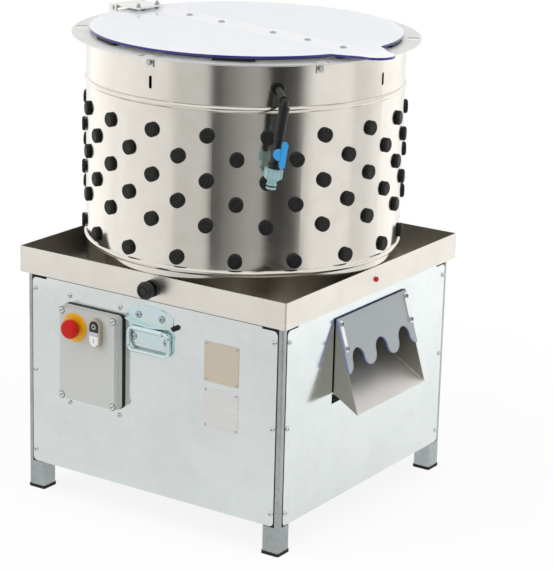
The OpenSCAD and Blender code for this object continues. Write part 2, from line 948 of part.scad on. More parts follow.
module hinge_leaf() {
  color(inox)
    rotate([0, 0, hinge_ang])
      difference() {
        union() {
          translate([leaf_bolt_x - 10, -leaf_half, leaf_z - leaf_t])
            cube([pin_x + 5 - leaf_bolt_x + 10, 2 * leaf_half, leaf_t]);
          for (s = [-1, 1])
            translate([pin_x - 5, s > 0 ? leaf_half - leaf_t : -leaf_half, pin_z - 5])
              cube([10, leaf_t, leaf_z - pin_z + 5 - leaf_t / 2]);
        }
        translate([pin_x, 0, pin_z])
          rotate([90, 0, 0])
            cylinder(r = pin_r + run_fit, h = 4 * leaf_half, center = true);
        for (s = [-1, 1])
          translate([leaf_bolt_x, s * leaf_bolt_y, leaf_z - leaf_t - eps])
            cylinder(r = lid_shank + fit, h = leaf_t + 2 * eps);
      }
}

// Places of the five lid screws along the strip
lid_screw_as = [lid_screw_a + 2 * lid_screw_step, lid_screw_a + lid_screw_step, lid_screw_a, -lid_screw_a,
  -lid_screw_a - lid_screw_step];

// Holes along the lid's strip
module strip_holes(z, h) {
  rotate([0, 0, strip_ang])
    for (a = lid_screw_as)
      translate([a, 0, z])
        cylinder(r = lid_shank + fit, h = h);
}

// Holes through the lid
module lid_holes(z, h) {
  strip_holes(z, h);
  rotate([0, 0, hinge_ang])
    for (s = [-1, 1])
      translate([leaf_bolt_x, s * leaf_bolt_y, z])
        cylinder(r = lid_shank + fit, h = h);
}

module lid_sheet() {
  color(clear)
    difference() {
      translate([0, 0, lid_z])
        linear_extrude(lid_t) {
          circle(lid_r, $fn = 96);
          rotate([0, 0, strip_ang]) {
            translate([grip_reach - grip_r, 0])
              circle(grip_r);
            polygon([[lid_r - 20, -grip_root - 2], [lid_r + 14, -grip_root + 16],
              [grip_reach - grip_r, -grip_r], [grip_reach - grip_r, grip_r],
              [lid_r + 14, grip_root - 16], [lid_r - 20, grip_root + 2]]);
          }
        }
      lid_holes(lid_z - eps, lid_t + 2 * eps);
    }
}

module lid_pads() {
  color(black)
    for (a = pad_angs)
      rotate([0, 0, a])
        translate([0, 0, flange_z + fit])
          linear_extrude(pad_t)
            intersection() {
              difference() {
                circle(lid_r - 2, $fn = 96);
                circle(lid_r - 2 - pad_w, $fn = 96);
              }
              polygon([[0, 0], [2 * lid_r, -2 * lid_r * tan(pad_half)],
                [2 * lid_r, 2 * lid_r * tan(pad_half)]]);
            }
}

module lid_strip() {
  color(clear)
    difference() {
      rotate([0, 0, strip_ang])
        translate([0, 0, lid_z - strip_t])
          linear_extrude(strip_t)
            intersection() {
              translate([(strip_a - strip_b) / 2, 0])
                rsq(strip_a + strip_b, strip_w, strip_w / 2 - 1);
              circle(lid_r - 2 - pad_w - 1, $fn = 96);
            }
      strip_holes(lid_z - strip_t - eps, strip_t + 2 * eps);
    }
}

module lid_screws() {
  color(bright) {
    rotate([0, 0, strip_ang])
      for (a = lid_screw_as)
        translate([a, 0, lid_top])
          pan_screw(7, 2.6, lid_shank, lid_t + strip_t);
    rotate([0, 0, hinge_ang])
      for (s = [-1, 1])
        translate([leaf_bolt_x, s * leaf_bolt_y, 0]) {
          translate([0, 0, lid_z])
            cylinder(r = lid_shank, h = leaf_z + 8 - lid_z);
          translate([0, 0, lid_top])
            cylinder(r = 5, h = leaf_z - leaf_t - lid_top);
          translate([0, 0, leaf_z])
            cylinder(r = 5, h = 4.5, $fn = 6);
        }
  }
}

// Moves a child drawn along the hanging pipe, Z 0 at the elbow and Z down the pipe
module hang() {
  rotate([0, 0, water_ang])
    translate([water_r, 0, water_z - water_drop])
      rotate([180 - water_lean, 0, 0])
        children();
}

module water_pipe() {
  color(black) {
    rotate([0, 0, water_ang])
      translate([0, 0, water_z])
        rotate([0, 90, 0]) {
          translate([0, 0, drum_r - drum_t - 12])
            cylinder(r = pipe_r, h = stub_out + drum_t + 12);
          translate([0, 0, drum_r + stub_out])
            sphere(r = pipe_r);
          translate([0, 0, drum_r + stub_out])
            rotate([0, stub_ang, 0]) {
              cylinder(r = pipe_r, h = stub_l);
              translate([0, 0, stub_l - 14])
                cylinder(r = pipe_r + 2, h = 5);
            }
        }
    hang() {
      sphere(r = pipe_r + 0.5);
      cylinder(r = pipe_r, h = sleeve_a + sleeve_l);
      translate([0, 0, sleeve_a - 4])
        cylinder(r = sleeve_r + 0.5, h = 5);
      translate([0, 0, sleeve_a])
        cylinder(r = sleeve_r - 0.8, h = sleeve_l);
      for (i = [0 : 2 : sleeve_ribs - 1])
        translate([0, 0, sleeve_a + i * sleeve_l / sleeve_ribs])
          cylinder(r = sleeve_r, h = sleeve_l / sleeve_ribs);
    }
    rotate([0, 0, water_ang])
      translate([0, 0, water_z])
        rotate([0, 90, 0])
          rotate_extrude()
            polygon([[pipe_r + fit, drum_r - drum_t - 4], [pipe_r + 6.5, drum_r - drum_t - 4],
              [pipe_r + 6.5, drum_r - drum_t - 1.4], [pipe_r + 4, drum_r - drum_t - 1.4],
              [pipe_r + 4, drum_r + 0.6], [pipe_r + 7, drum_r + 0.6], [pipe_r + 7, drum_r + 3],
              [pipe_r + 5.5, drum_r + 5], [pipe_r + fit, drum_r + 5]]);
  }
}

module tap_body() {
  color(black)
    hang() {
      translate([0, 0, tap_a])
        cylinder(r = tap_r, h = tap_l);
      translate([0, 0, tap_a + tap_l - 9])
        cylinder(r = tap_r + 4, h = 9);
      translate([0, 0, lever_a])
        rotate([0, 90, 0]) {
          cylinder(r = tap_r - 0.5, h = lever_n - fit);
          cylinder(r = 2.5, h = lever_n + 5);
        }
    }
}

module tap_lever() {
  color([0.16, 0.48, 0.86])
    hang()
      translate([lever_n, 0, lever_a])
        difference() {
          union() {
            rotate([0, 90, 0])
              cylinder(r = lever_w, h = 6.5);
            translate([0, -lever_w - 3, lever_w / 2 - lever_l / 2])
              cube([8, lever_w, lever_l - lever_w]);
            for (z = [lever_w / 2 - lever_l / 2, lever_l / 2 - lever_w / 2])
              translate([0, -lever_w / 2 - 3, z])
                rotate([0, 90, 0])
                  cylinder(r = lever_w / 2, h = 8);
          }
          translate([-1, 0, 0])
            rotate([0, 90, 0])
              cylinder(r = 2.5 + run_fit, h = 6.5);
        }
}

module hose_connector() {
  color([0.55, 0.70, 0.69])
    hang()
      difference() {
        union() {
          translate([0, 0, conn_a])
            rotate_extrude()
              polygon([[0, 0], [conn_r - 1.5, 0], [conn_r - 1.5, conn_l - 22], [9, conn_l - 16],
                [8.5, conn_l - 13], [spigot_r, conn_l - 11],
                [spigot_r, conn_l - 2], [spigot_r - 1.5, conn_l], [0, conn_l]]);
          for (a = [0 : 60 : 300])
            rotate([0, 0, a])
              translate([0, -4, conn_a + 1])
                cube([conn_r, 8, conn_l - 24]);
        }
        translate([0, 0, conn_a + 4])
          cylinder(r = 5, h = conn_l);
        translate([0, 0, ring_a - seal_r - fit])
          difference() {
            cylinder(r = spigot_r + 4, h = 2 * (seal_r + fit));
            cylinder(r = spigot_r - 2 * seal_r - fit, h = 2 * (seal_r + fit));
          }
      }
}

module connector_ring() {
  color(black)
    hang()
      translate([0, 0, ring_a])
        rotate_extrude()
          translate([spigot_r - seal_r, 0])
            circle(seal_r, $fn = 24);
}

// Side of the chute, drawn with X outward and Y up
module chute_side() {
  polygon([[chute_in, lip_z + chute_slope * (face + lip_out - chute_in)], [chute_in, frame_h],
    [hood_in, frame_h], [hood_in, hood_z], [face + 1, hood_z], [face + lip_out, lip_z]]);
}

module chute() {
  dx = face + lip_out - chute_in;
  color(inox)
    difference() {
      union() {
        for (s = [-1, 1])
          translate([0, s > 0 ? chute_half : -chute_half + chute_t, 0])
            rotate([90, 0, 0])
              linear_extrude(chute_t)
                chute_side();
        translate([0, chute_half, 0])
          rotate([90, 0, 0])
            linear_extrude(2 * chute_half)
              polygon([[chute_in, lip_z + chute_slope * dx], [face + lip_out, lip_z],
                [face + lip_out, lip_z + 1.17 * chute_t],
                [chute_in + chute_t, lip_z + chute_slope * (dx - chute_t) + 1.17 * chute_t],
                [chute_in + chute_t, frame_h], [chute_in, frame_h]]);
        for (s = [-1, 1])
          guard_place()
            translate([s > 0 ? chute_half - edge_w : -chute_half, 0, -chute_t])
              cube([edge_w, edge_l, chute_t]);
      }
      guard_place()
        guard_bolt_holes();
    }
}

// Places a child on the hood's sloping edge: X across, Y down the slope, Z outward
module guard_place() {
  translate([face + 1, 0, hood_z])
    rotate([0, 90 - hood_ang, 0])
      rotate([0, 0, -90])
        children();
}

// Bolt holes of the guard
module guard_bolt_holes() {
  for (s = [-1, 1], k = [0, 1])
    translate([s * clamp_x, guard_bolt_a + k * guard_bolt_step, -10])
      cylinder(r = guard_bolt_r + fit, h = 30);
}

module chute_guard() {
  w = 2 * chute_half;
  color(clear)
    guard_place()
      difference() {
        linear_extrude(guard_t)
          difference() {
            union() {
              translate([-w / 2, 0])
                square([w, guard_l]);
              intersection() {
                for (i = [-2 : 1])
                  translate([(i + 0.5) * scallop, guard_l])
                    circle(scallop / 4);
                translate([-w / 2, 0])
                  square([w, 2 * guard_l]);
              }
            }
            for (i = [-1 : 1])
              translate([i * scallop, guard_l])
                circle(scallop / 4);
          }
        guard_bolt_holes();
      }
}

module guard_clamps() {
  color(inox)
    guard_place() {
      for (s = [-1, 1])
        translate([s * clamp_x, guard_bolt_a + guard_bolt_step / 2, guard_t])
          difference() {
            linear_extrude(clamp_t)
              stadium(clamp_w, clamp_l);
            for (k = [-0.5, 0.5])
              translate([0, k * guard_bolt_step, -1])
                cylinder(r = guard_bolt_r + fit, h = clamp_t + 2);
          }
    }
}

module guard_bolts() {
  color(bright)
    guard_place()
      for (s = [-1, 1], k = [0, 1])
        translate([s * clamp_x, guard_bolt_a + k * guard_bolt_step, guard_t + clamp_t]) {
          translate([0, 0, -guard_t - clamp_t - chute_t - 5])
            cylinder(r = guard_bolt_r, h = guard_t + clamp_t + chute_t + 6);
          difference() {
            cylinder(r = 4.5, h = 4);
            translate([0, 0, 1.5])
              cylinder(r = 2.2, h = 4, $fn = 6);
          }
        }
}

module bearing_housing() {
  color([0.30, 0.33, 0.36]) {
    difference() {
      union() {
        translate([0, 0, housing_z0])
          cylinder(r = bearing_r + 9, h = housing_l);
        translate([0, 0, rail_z - 10])
          linear_extrude(10)
            rsq(2 * housing_half, 2 * housing_half, 8);
        translate([0, 0, rail_z - 10])
          cylinder(r = cross_x - rail / 2 - 1, h = disc_plate_z - 20 - rail_z + 10);
      }
      translate([0, 0, housing_z0 - eps])
        cylinder(r = bearing_r + run_fit, h = housing_l - 12 + eps);
      translate([0, 0, housing_z0])
        cylinder(r = shaft_r + 1.5, h = 2 * housing_l + 60);
      translate([0, 0, rail_z - 14])
        cylinder(r = shaft_r + 1.5, h = disc_plate_z - rail_z);
    }
  }
  color(bright)
    for (z = [housing_z0 + 1, housing_z0 + housing_l - 12.3 - bearing_w])
      translate([0, 0, z])
        difference() {
          cylinder(r = bearing_r, h = bearing_w);
          translate([0, 0, -eps])
            cylinder(r = shaft_r + run_fit, h = bearing_w + 2 * eps);
        }
}

// Grooved pulley between two heights about the Z axis, with a pitch radius
module pulley(r, z0, z1, bore) {
  m = (z0 + z1) / 2;
  rotate_extrude($fn = 72)
    polygon([[bore, z0], [r + groove_out, z0], [r + groove_out, m - groove],
      [r - groove_in, m - groove_low], [r - groove_in, m + groove_low],
      [r + groove_out, m + groove], [r + groove_out, z1], [bore, z1]]);
}

module main_shaft() {
  color(bright) {
    translate([0, 0, pulley_z0 - 6])
      cylinder(r = shaft_r, h = disc_plate_z - pulley_z0 + 6);
    translate([0, 0, disc_plate_z - 12])
      cylinder(r = hub_r, h = 12);
    translate([0, 0, disc_plate_z - 1])
      cylinder(r = shaft_r - 2, h = disc_plate_t + 12);
    translate([0, 0, disc_plate_z + disc_plate_t])
      cylinder(r = shaft_r + 4, h = 10, $fn = 6);
    translate([0, 0, disc_plate_z + disc_plate_t + 9])
      sphere(r = shaft_r);
  }
}

module driven_pulley() {
  color([0.25, 0.26, 0.28])
    difference() {
      pulley(pulley_r, pulley_z0, pulley_z1, shaft_r + run_fit);
      for (a = [0 : 60 : 300])
        rotate([0, 0, a])
          translate([(pulley_r - groove_in + shaft_r) / 2, 0, pulley_z0 - eps])
            cylinder(r = 13, h = pulley_w + 2 * eps);
    }
}

module feather_plate() {
  color(inox)
    difference() {
      translate([0, 0, disc_plate_z])
        cylinder(r = disc_plate_r, h = disc_plate_t, $fn = 96);
      translate([0, 0, disc_plate_z - eps])
        cylinder(r = shaft_r - 2 + fit, h = disc_plate_t + 2 * eps);
      for (j = [0 : 2], i = [0 : ring_n * (j + 1) - 1])
        rotate([0, 0, (i + 0.5 * j) * 360 / (ring_n * (j + 1))])
          translate([ring_r - (2 - j) * ring_step, 0, disc_plate_z - eps])
            cylinder(d = finger_hole, h = disc_plate_t + 2 * eps);
    }
}

module plate_fingers() {
  color(black)
    for (j = [0 : 2], i = [0 : ring_n * (j + 1) - 1])
      rotate([0, 0, (i + 0.5 * j) * 360 / (ring_n * (j + 1))])
        translate([ring_r - (2 - j) * ring_step, 0, disc_plate_z + disc_plate_t])
          finger(disc_plate_t);
}

module motor_plate() {
  x0 = -leg_c - rail / 2;
  color([0.30, 0.33, 0.36])
    difference() {
      union() {
        translate([x0, -motor_half, motor_top])
          cube([-cross_x + rail / 2 - x0, 2 * motor_half, motor_plate_t]);
        for (x = [-leg_c, -cross_x], s = [-1, 1])
          translate([x, s * (motor_half - rail / 2), motor_top + 1])
            cylinder(r = 9, h = rail_z - motor_top - 1);
      }
      translate([motor_x, 0, motor_top - eps])
        cylinder(r = motor_shaft_r + 8, h = motor_plate_t + 2 * eps);
    }
}

module motor_body() {
  color([0.28, 0.36, 0.42])
    translate([motor_x, 0, motor_top])
      difference() {
        union() {
          translate([0, 0, -10])
            cylinder(r = motor_r + 14, h = 10);
          translate([0, 0, -motor_l + 40])
            cylinder(r = motor_r, h = motor_l - 45);
          for (a = [0 : 15 : 345])
            rotate([0, 0, a])
              translate([motor_r - 3, -1.5, -motor_l + 55])
                cube([10, 3, motor_l - 75]);
          translate([0, 0, -motor_l])
            cylinder(r = motor_r + 5, h = 42);
          translate([-35, motor_r - 5, -motor_l + 70])
            cube([70, 45, 80]);
        }
        translate([0, 0, -40])
          cylinder(r = motor_shaft_r + run_fit, h = 41);
      }
}

module motor_pulley() {
  color([0.25, 0.26, 0.28])
    translate([motor_x, 0, 0]) {
      pulley(motor_pulley_r, pulley_z0, pulley_z1, 0);
      translate([0, 0, motor_top - 38])
        cylinder(r = motor_shaft_r, h = pulley_z1 + 3 - motor_top + 38);
    }
}

// Belt outline round both pulleys, grown from the pitch line
module belt_outline(g) {
  b = asin((pulley_r - motor_pulley_r) / -motor_x);
  u = [-sin(b), cos(b)];
  circle(pulley_r + g, $fn = 72);
  translate([motor_x, 0])
    circle(motor_pulley_r + g, $fn = 72);
  polygon([(pulley_r + g) * u, [motor_x, 0] + (motor_pulley_r + g) * u,
    [motor_x, 0] + (motor_pulley_r + g) * [u[0], -u[1]], (pulley_r + g) * [u[0], -u[1]]]);
}

module v_belt() {
  color(black)
    translate([0, 0, (pulley_z0 + pulley_z1) / 2 - belt_half])
      linear_extrude(2 * belt_half)
        difference() {
          belt_outline(belt_out);
          belt_outline(-belt_in);
        }
}

module control_base() {
  color(grey)
    difference() {
      union() {
        front(leg_span / 2 - base_d)
          linear_extrude(base_d)
            translate([box_x, box_z])
              rsq(box_w, box_h, box_r);
        front(leg_span / 2 - 4)
          linear_extrude(4)
            translate([box_x, box_z])
              rsq(box_w + 6, 2 * box_fix_z + 18, 6);
        translate([box_x + 30, -leg_span / 2 + base_d / 2, box_z - box_h / 2 - 22])
          cylinder(r = 11, h = 24, $fn = 6);
      }
      front(leg_span / 2 - base_d + box_t)
        linear_extrude(base_d)
          translate([box_x, box_z])
            difference() {
              rsq(box_w - 2 * box_t, box_h - 2 * box_t, box_r - box_t);
              for (sx = [-1, 1], sz = [-1, 1])
                translate([sx * corner_x, sz * corner_z])
                  circle(8);
            }
      for (sx = [-1, 1], sz = [-1, 1]) {
        translate([box_x + sx * corner_x, -leg_span / 2 - 1, box_z + sz * corner_z])
          rotate([-90, 0, 0])
            cylinder(r = shank_hole, h = 20);
        translate([box_x + sx * box_fix_x, -leg_span / 2 - 1, box_z + sz * box_fix_z])
          rotate([-90, 0, 0])
            cylinder(r = shank_hole, h = 20);
      }
      translate([box_x + 30, -leg_span / 2 + base_d / 2, box_z - box_h / 2 - 23])
        cylinder(r = 5, h = 24 + box_t);
    }
}

module control_seal() {
  color(black)
    front(face)
      linear_extrude(seal_t)
        translate([box_x, box_z])
          difference() {
            rsq(box_w + 2 * rim + 2, box_h + 2 * rim + 2, box_r + 2);
            square([2 * cut_x, 2 * cut_z], center = true);
            for (sx = [-1, 1], sz = [-1, 1])
              translate([sx * corner_x, sz * corner_z])
                circle(shank_hole);
          }
}

module control_lid() {
  y0 = face + seal_t;
  color(grey)
    difference() {
      union() {
        front(y0)
          linear_extrude(rim_d)
            translate([box_x, box_z])
              rsq(box_w + 2 * rim, box_h + 2 * rim, box_r + 1);
        front(y0 + rim_d - 1)
          linear_extrude(lid_d + 1)
            translate([box_x, box_z]) {
              rsq(box_w, box_h, box_r);
              for (sx = [-1, 1], sz = [-1, 1])
                translate([sx * corner_x, sz * corner_z])
                  circle(7.5);
            }
      }
      front(y0 - 1)
        linear_extrude(rim_d + lid_d + 1 - box_t)
          translate([box_x, box_z])
            square([2 * cut_x, 2 * cut_z], center = true);
      for (sx = [-1, 1], sz = [-1, 1])
        translate([box_x + sx * corner_x, -lid_face - 1, box_z + sz * corner_z])
          rotate([-90, 0, 0])
            cylinder(r = shank_hole, h = rim_d + lid_d + 2);
      translate([stop_c[0], -lid_face - 1, stop_c[1]])
        rotate([-90, 0, 0])
          cylinder(r = 11 + run_fit, h = rim_d + lid_d);
      for (s = [-1, 1])
        translate([twin_c[0], -lid_face - 1, twin_c[1] + s * bezel_h / 4])
          rotate([-90, 0, 0])
            cylinder(r = 6 + fit, h = rim_d + lid_d);
    }
}

module control_screws() {
  color(bright)
    for (sx = [-1, 1], sz = [-1, 1])
      translate([box_x + sx * corner_x, -lid_face, box_z + sz * corner_z])
        rotate([90, 0, 0])
          difference() {
            pan_screw(6.5, 2.6, shank_r, rim_d + lid_d + seal_t + panel_t + 12);
            translate([0, 0, 2.6])
              rotate([0, 0, 35])
                cube([20, 1.4, 2.4], center = true);
          }
}

module estop_disc() {
  color([0.95, 0.76, 0.10])
    translate([stop_c[0], -lid_face, stop_c[1]])
      rotate([90, 0, 0])
        difference() {
          cylinder(r = disc_r, h = disc_t);
          translate([0, 0, -1])
            cylinder(r = 11 + run_fit, h = disc_t + 2);
        }
}

module estop_stem() {
  color(black)
    translate([stop_c[0], -lid_face, stop_c[1]])
      rotate([90, 0, 0]) {
        translate([0, 0, control_in - lid_face])
          cylinder(r = 11, h = lid_face - control_in + disc_t + mush_gap - fit);
        translate([0, 0, disc_t + mush_gap - 2])
          cylinder(r = 6, h = mush_l - 4);
      }
}

module estop_head() {
  color([0.82, 0.10, 0.10])
    translate([stop_c[0], -lid_face - disc_t - mush_gap, stop_c[1]])
      rotate([90, 0, 0])
        rotate_extrude()
          polygon([[6 + run_fit, 0], [mush_r - 4, 0], [mush_r - 1, 3], [mush_r, 6], [mush_r, mush_l - 5],
            [mush_r - 1.4, mush_l - 2], [mush_r - 5, mush_l], [0, mush_l + 1.2], [0, mush_l - 5],
            [6 + run_fit, mush_l - 5]]);
}

// Outline of one half of the twin button, above or below its middle
module half_button(s, g) {
  intersection() {
    stadium(bezel_w - 2 * bezel_rim + 2 * g, bezel_h - 2 * bezel_rim + 2 * g);
    translate([-bezel_w, s > 0 ? band_h / 2 - g : -bezel_h - band_h / 2 + g])
      square([2 * bezel_w, bezel_h]);
  }
}

module button_bezel() {
  color([0.78, 0.75, 0.68])
    difference() {
      front(lid_face)
        linear_extrude(bezel_d)
          translate(twin_c)
            stadium(bezel_w, bezel_h);
      for (s = [-1, 1]) {
        front(lid_face + bezel_d - push - 3 - fit)
          linear_extrude(push + 4 + fit)
            translate(twin_c)
              half_button(s, 0);
        translate([twin_c[0], -lid_face - bezel_d, twin_c[1] + s * bezel_h / 4])
          rotate([-90, 0, 0])
            cylinder(r = 6 + fit, h = bezel_d + 1);
      }
    }
}

// Push button with its shank
module push_button(s) {
  front(lid_face + bezel_d - 3)
    linear_extrude(3 + button_out)
      translate(twin_c)
        half_button(s, -fit);
  translate([twin_c[0], -lid_face - bezel_d + 2, twin_c[1] + s * bezel_h / 4])
    rotate([-90, 0, 0])
      cylinder(r = 6, h = lid_face + bezel_d - 2 - control_in);
}

module stop_button() {
  color(black)
    difference() {
      push_button(1);
      front(lid_face + bezel_d + button_out - 0.4)
        linear_extrude(1)
          translate(twin_c + [0, bezel_h / 4])
            difference() {
              circle(5);
              circle(3.4);
            }
    }
}

module start_button() {
  color([0.93, 0.93, 0.91])
    difference() {
      push_button(-1);
      front(lid_face + bezel_d + button_out - 0.4)
        linear_extrude(1)
          translate(twin_c - [0, bezel_h / 4])
            square([1.8, 9], center = true);
    }
}

// Flat outline of the handle plate, with an arched top
module grab_outline() {
  arch_r = (grab_half * grab_half + grab_arch * grab_arch) / (2 * grab_arch);
  translate([-grab_half, grab_low])
    square([2 * grab_half, grab_top - grab_low]);
  intersection() {
    translate([0, grab_top + grab_arch - arch_r])
      circle(arch_r, $fn = 96);
    translate([-grab_half, grab_top - 1])
      square([2 * grab_half, grab_arch + 2]);
  }
}

// Sagging lip that folds out of the handle plate over the barrel
module grab_lip() {
  sag_r = (grab_half * grab_half + grab_lip_sag * grab_lip_sag) / (2 * grab_lip_sag);
  intersection() {
    translate([0, bail_z + bail_r + barrel_t + sag_r])
      difference() {
        circle(sag_r, $fn = 144);
        circle(sag_r - grab_lip_t, $fn = 144);
      }
    translate([-grab_half, grab_low])
      square([2 * grab_half, grab_top - grab_low]);
  }
}

module grab_plate() {
  barrel_r = bail_r + run_fit + barrel_t;
  color([0.76, 0.83, 0.86])
    translate([grab_x, 0, 0])
      difference() {
        union() {
          front(face)
            linear_extrude(grab_t)
              grab_outline();
          front(face)
            linear_extrude(bail_out + 2)
              grab_lip();
          translate([-barrel_half, -face - bail_out, bail_z])
            rotate([0, 90, 0])
              cylinder(r = barrel_r, h = 2 * barrel_half);
          translate([-barrel_half, -face - bail_out, bail_z])
            cube([2 * barrel_half, bail_out, barrel_r]);
        }
        translate([-barrel_half - 1, -face - bail_out, bail_z])
          rotate([0, 90, 0])
            cylinder(r = bail_r + run_fit, h = 2 * barrel_half + 2);
        for (p = grab_screws)
          translate([p[0] - grab_x, -face - grab_t - 1, p[1]])
            rotate([-90, 0, 0])
              cylinder(r = shank_hole, h = grab_t + 2);
      }
}

module grab_bail() {
  color([0.76, 0.83, 0.86])
    translate([grab_x, -face - bail_out, bail_z]) {
      for (z = [0, -bail_drop])
        translate([bail_c - bail_half, 0, z])
          rotate([0, 90, 0])
            cylinder(r = bail_r, h = 2 * (bail_half - bail_c));
      for (s = [-1, 1])
        translate([s * bail_half, 0, bail_c - bail_drop])
          cylinder(r = bail_r, h = bail_drop - 2 * bail_c);
      for (k = [0 : 3])
        translate([(k == 0 || k == 3 ? 1 : -1) * (bail_half - bail_c), 0,
          k < 2 ? -bail_c : bail_c - bail_drop])
          rotate([90, 0, 0])
            rotate([0, 0, 90 * k])
              rotate_extrude(angle = 90)
                translate([bail_c, 0])
                  circle(bail_r, $fn = 32);
    }
}

module grab_buffer() {
  color(black)
    translate([grab_x + grab_half + 6, -face, bail_z + bail_r + barrel_t + grab_lip_sag])
      rotate([90, 0, 0])
        rotate_extrude()
          polygon([[0, 0], [5, 0], [5.5, 2], [5.5, 8], [4, 11], [0, 11]]);
}

module front_rivets() {
  color(bright) {
    for (p = grab_screws)
      translate([p[0], -face - grab_t, p[1]])
        rotate([90, 0, 0])
          pan_screw(7.5, 3.4, shank_r, shank_l);
    for (p = rivet_pts)
      translate([p[0], -face - plate_t, p[1]])
        rotate([90, 0, 0])
          pan_screw(2.4, 0.9, 1.2, plate_t);
  }
}

module rating_plates() {
  color([0.72, 0.66, 0.55])
    difference() {
      for (z = [plate_z_low, plate_z_high])
        front(face)
          linear_extrude(plate_t)
            translate([plate_x + plate_w / 2, z + plate_w / 2])
              rsq(plate_w, plate_w, 2);
      for (p = rivet_pts)
        translate([p[0], -face - plate_t - 1, p[1]])
          rotate([-90, 0, 0])
            cylinder(r = 1.2 + fit, h = plate_t + 2);
    }
}

module indicator_lamp() {
  color([0.80, 0.08, 0.08])
    translate([tray_face, 0, drain_z])
      rotate([0, 90, 0])
        rotate_extrude()
          polygon([[0, -tray_t], [lamp_r - 1.5, -tray_t], [lamp_r - 1.5, 0], [lamp_r, 0], [lamp_r, 2],
            [lamp_r - 1, 4], [lamp_r - 3, 5.2], [0, 5.6]]);
}

module drain_fitting() {
  color(black)
    translate([drain_x, -tray_face, drain_z])
      rotate([90, 0, 0])
        difference() {
          union() {
            cylinder(r = drain_r - 1, h = 9);
            translate([0, 0, -tray_t])
              cylinder(r = 8, h = tray_t + drain_l + 9);
          }
          translate([0, 0, -tray_t - 1])
            cylinder(r = 5.5, h = tray_t + drain_l + 20);
        }
}

module drain_cap() {
  r = drain_r - 0.5;
  l = drain_cap_l;
  color(black)
    translate([drain_x, -tray_face - drain_l, drain_z])
      rotate([90, 0, 0])
        difference() {
          union() {
            // barrel with a well rounded front edge and a softer back one
            rotate_extrude()
              polygon([[0, 0], [r - 3, 0], [r - 1, 1], [r, 3], [r, l - 6], [r - 0.8, l - 3.2],
                [r - 2.4, l - 1.2], [r - 5, l], [0, l]]);
            for (a = [0 : 30 : 330])
              rotate([0, 0, a])
                translate([r - 1.6, 0, 3.5])
                  cylinder(r = 2.2, h = l - 10);
          }
          translate([0, 0, -1])
            cylinder(r = 8 + run_fit, h = 11);
          translate([0, 0, l - 2])
            difference() {
              cylinder(r = drain_r - 8, h = 4);
              cylinder(r = drain_r - 11, h = 4);
            }
        }
}

legs();
frame_rails();
foot_caps();
front_panel();
right_panel();
rear_panel();
left_panel();
panel_screws();
tray();
drum_shell();
drum_fingers_1();
drum_fingers_2();
drum_fingers_3();
drum_fingers_4();
drum_fingers_5();
drum_fingers_6();
flange_ring();
flange_bolts();
hinge_bracket();
water_pipe();
tap_body();
hose_connector();
connector_ring();
tap_lever();
chute();
chute_guard();
guard_clamps();
guard_bolts();
bearing_housing();
motor_body();
motor_plate();
v_belt();
control_base();
control_seal();
control_lid();
control_screws();
estop_disc();
estop_stem();
estop_head();
button_bezel();
stop_button();
start_button();
grab_plate();
grab_bail();
grab_buffer();
front_rivets();
rating_plates();
indicator_lamp();
drain_fitting();
drain_cap();
lid_sheet();
lid_pads();
lid_strip();
lid_screws();
hinge_leaf();
feather_plate();
plate_fingers();
main_shaft();
driven_pulley();
motor_pulley();
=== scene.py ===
"""Looks of a drum poultry plucker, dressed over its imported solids.

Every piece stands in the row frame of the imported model: metres, +Z up, -Y the control side,
+X the chute side. Sizes in the classes below are millimetres, unless a comment says otherwise.
"""

from __future__ import annotations

import logging
import math
from dataclasses import dataclass, field
from enum import Enum
from typing import Iterable, Protocol, Sequence

import bmesh
import bpy
from mathutils import Matrix, Vector


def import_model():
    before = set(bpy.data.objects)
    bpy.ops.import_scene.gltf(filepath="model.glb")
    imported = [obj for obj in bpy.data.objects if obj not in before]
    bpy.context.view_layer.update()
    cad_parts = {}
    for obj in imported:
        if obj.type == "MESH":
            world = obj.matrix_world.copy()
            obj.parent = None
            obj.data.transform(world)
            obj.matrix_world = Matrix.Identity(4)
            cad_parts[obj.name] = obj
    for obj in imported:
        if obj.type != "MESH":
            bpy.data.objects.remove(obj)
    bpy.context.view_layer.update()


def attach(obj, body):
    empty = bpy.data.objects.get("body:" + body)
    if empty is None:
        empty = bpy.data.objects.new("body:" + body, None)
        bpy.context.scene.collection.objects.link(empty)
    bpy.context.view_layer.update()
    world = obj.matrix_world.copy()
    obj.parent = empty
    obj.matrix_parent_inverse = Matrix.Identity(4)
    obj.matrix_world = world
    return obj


LOG = logging.getLogger("plucker")
MM = 0.001

Tree = bpy.types.NodeTree
Node = bpy.types.Node
Socket = bpy.types.NodeSocket
Form = bmesh.types.BMesh
Colour = tuple[float, float, float, float]
Links = dict[str | int, Socket]
Values = dict[str | int, object]
Pair = tuple[float, float]
Point = tuple[float, float, float]
Steps = tuple[Pair, ...]
Height = tuple[Socket, float, float]

WHITE: Colour = (1.0, 1.0, 1.0, 1.0)
# Blender's noise mostly keeps between these values.
NOISE_SPAN: Pair = (0.3, 0.7)
# Roughness of the shiniest and the dullest patches, as a share of the finish's own.
GLOSS_SWING: Pair = (0.85, 1.2)
# Corners of small pieces that are sharper than this stay sharp.
CREASE_DEG = 35.0
# Cross slot of a screw: height over the head's top, and scale, at each step.
CROSS_STEPS: Steps = ((-0.4, 0.8), (0.02, 1.0), (0.06, 0.9))
# Points on a full circle of a small printed or shaded ring.
RING_SIDES = 40
# Softened edge of such a ring, as a share of its width.
RING_SOFT = 0.12


class Grain(Enum):
    """Direction in which the rolling lines of a sheet run."""

    ROUND = "round"
    ALONG_X = "along_x"
    ALONG_Y = "along_y"


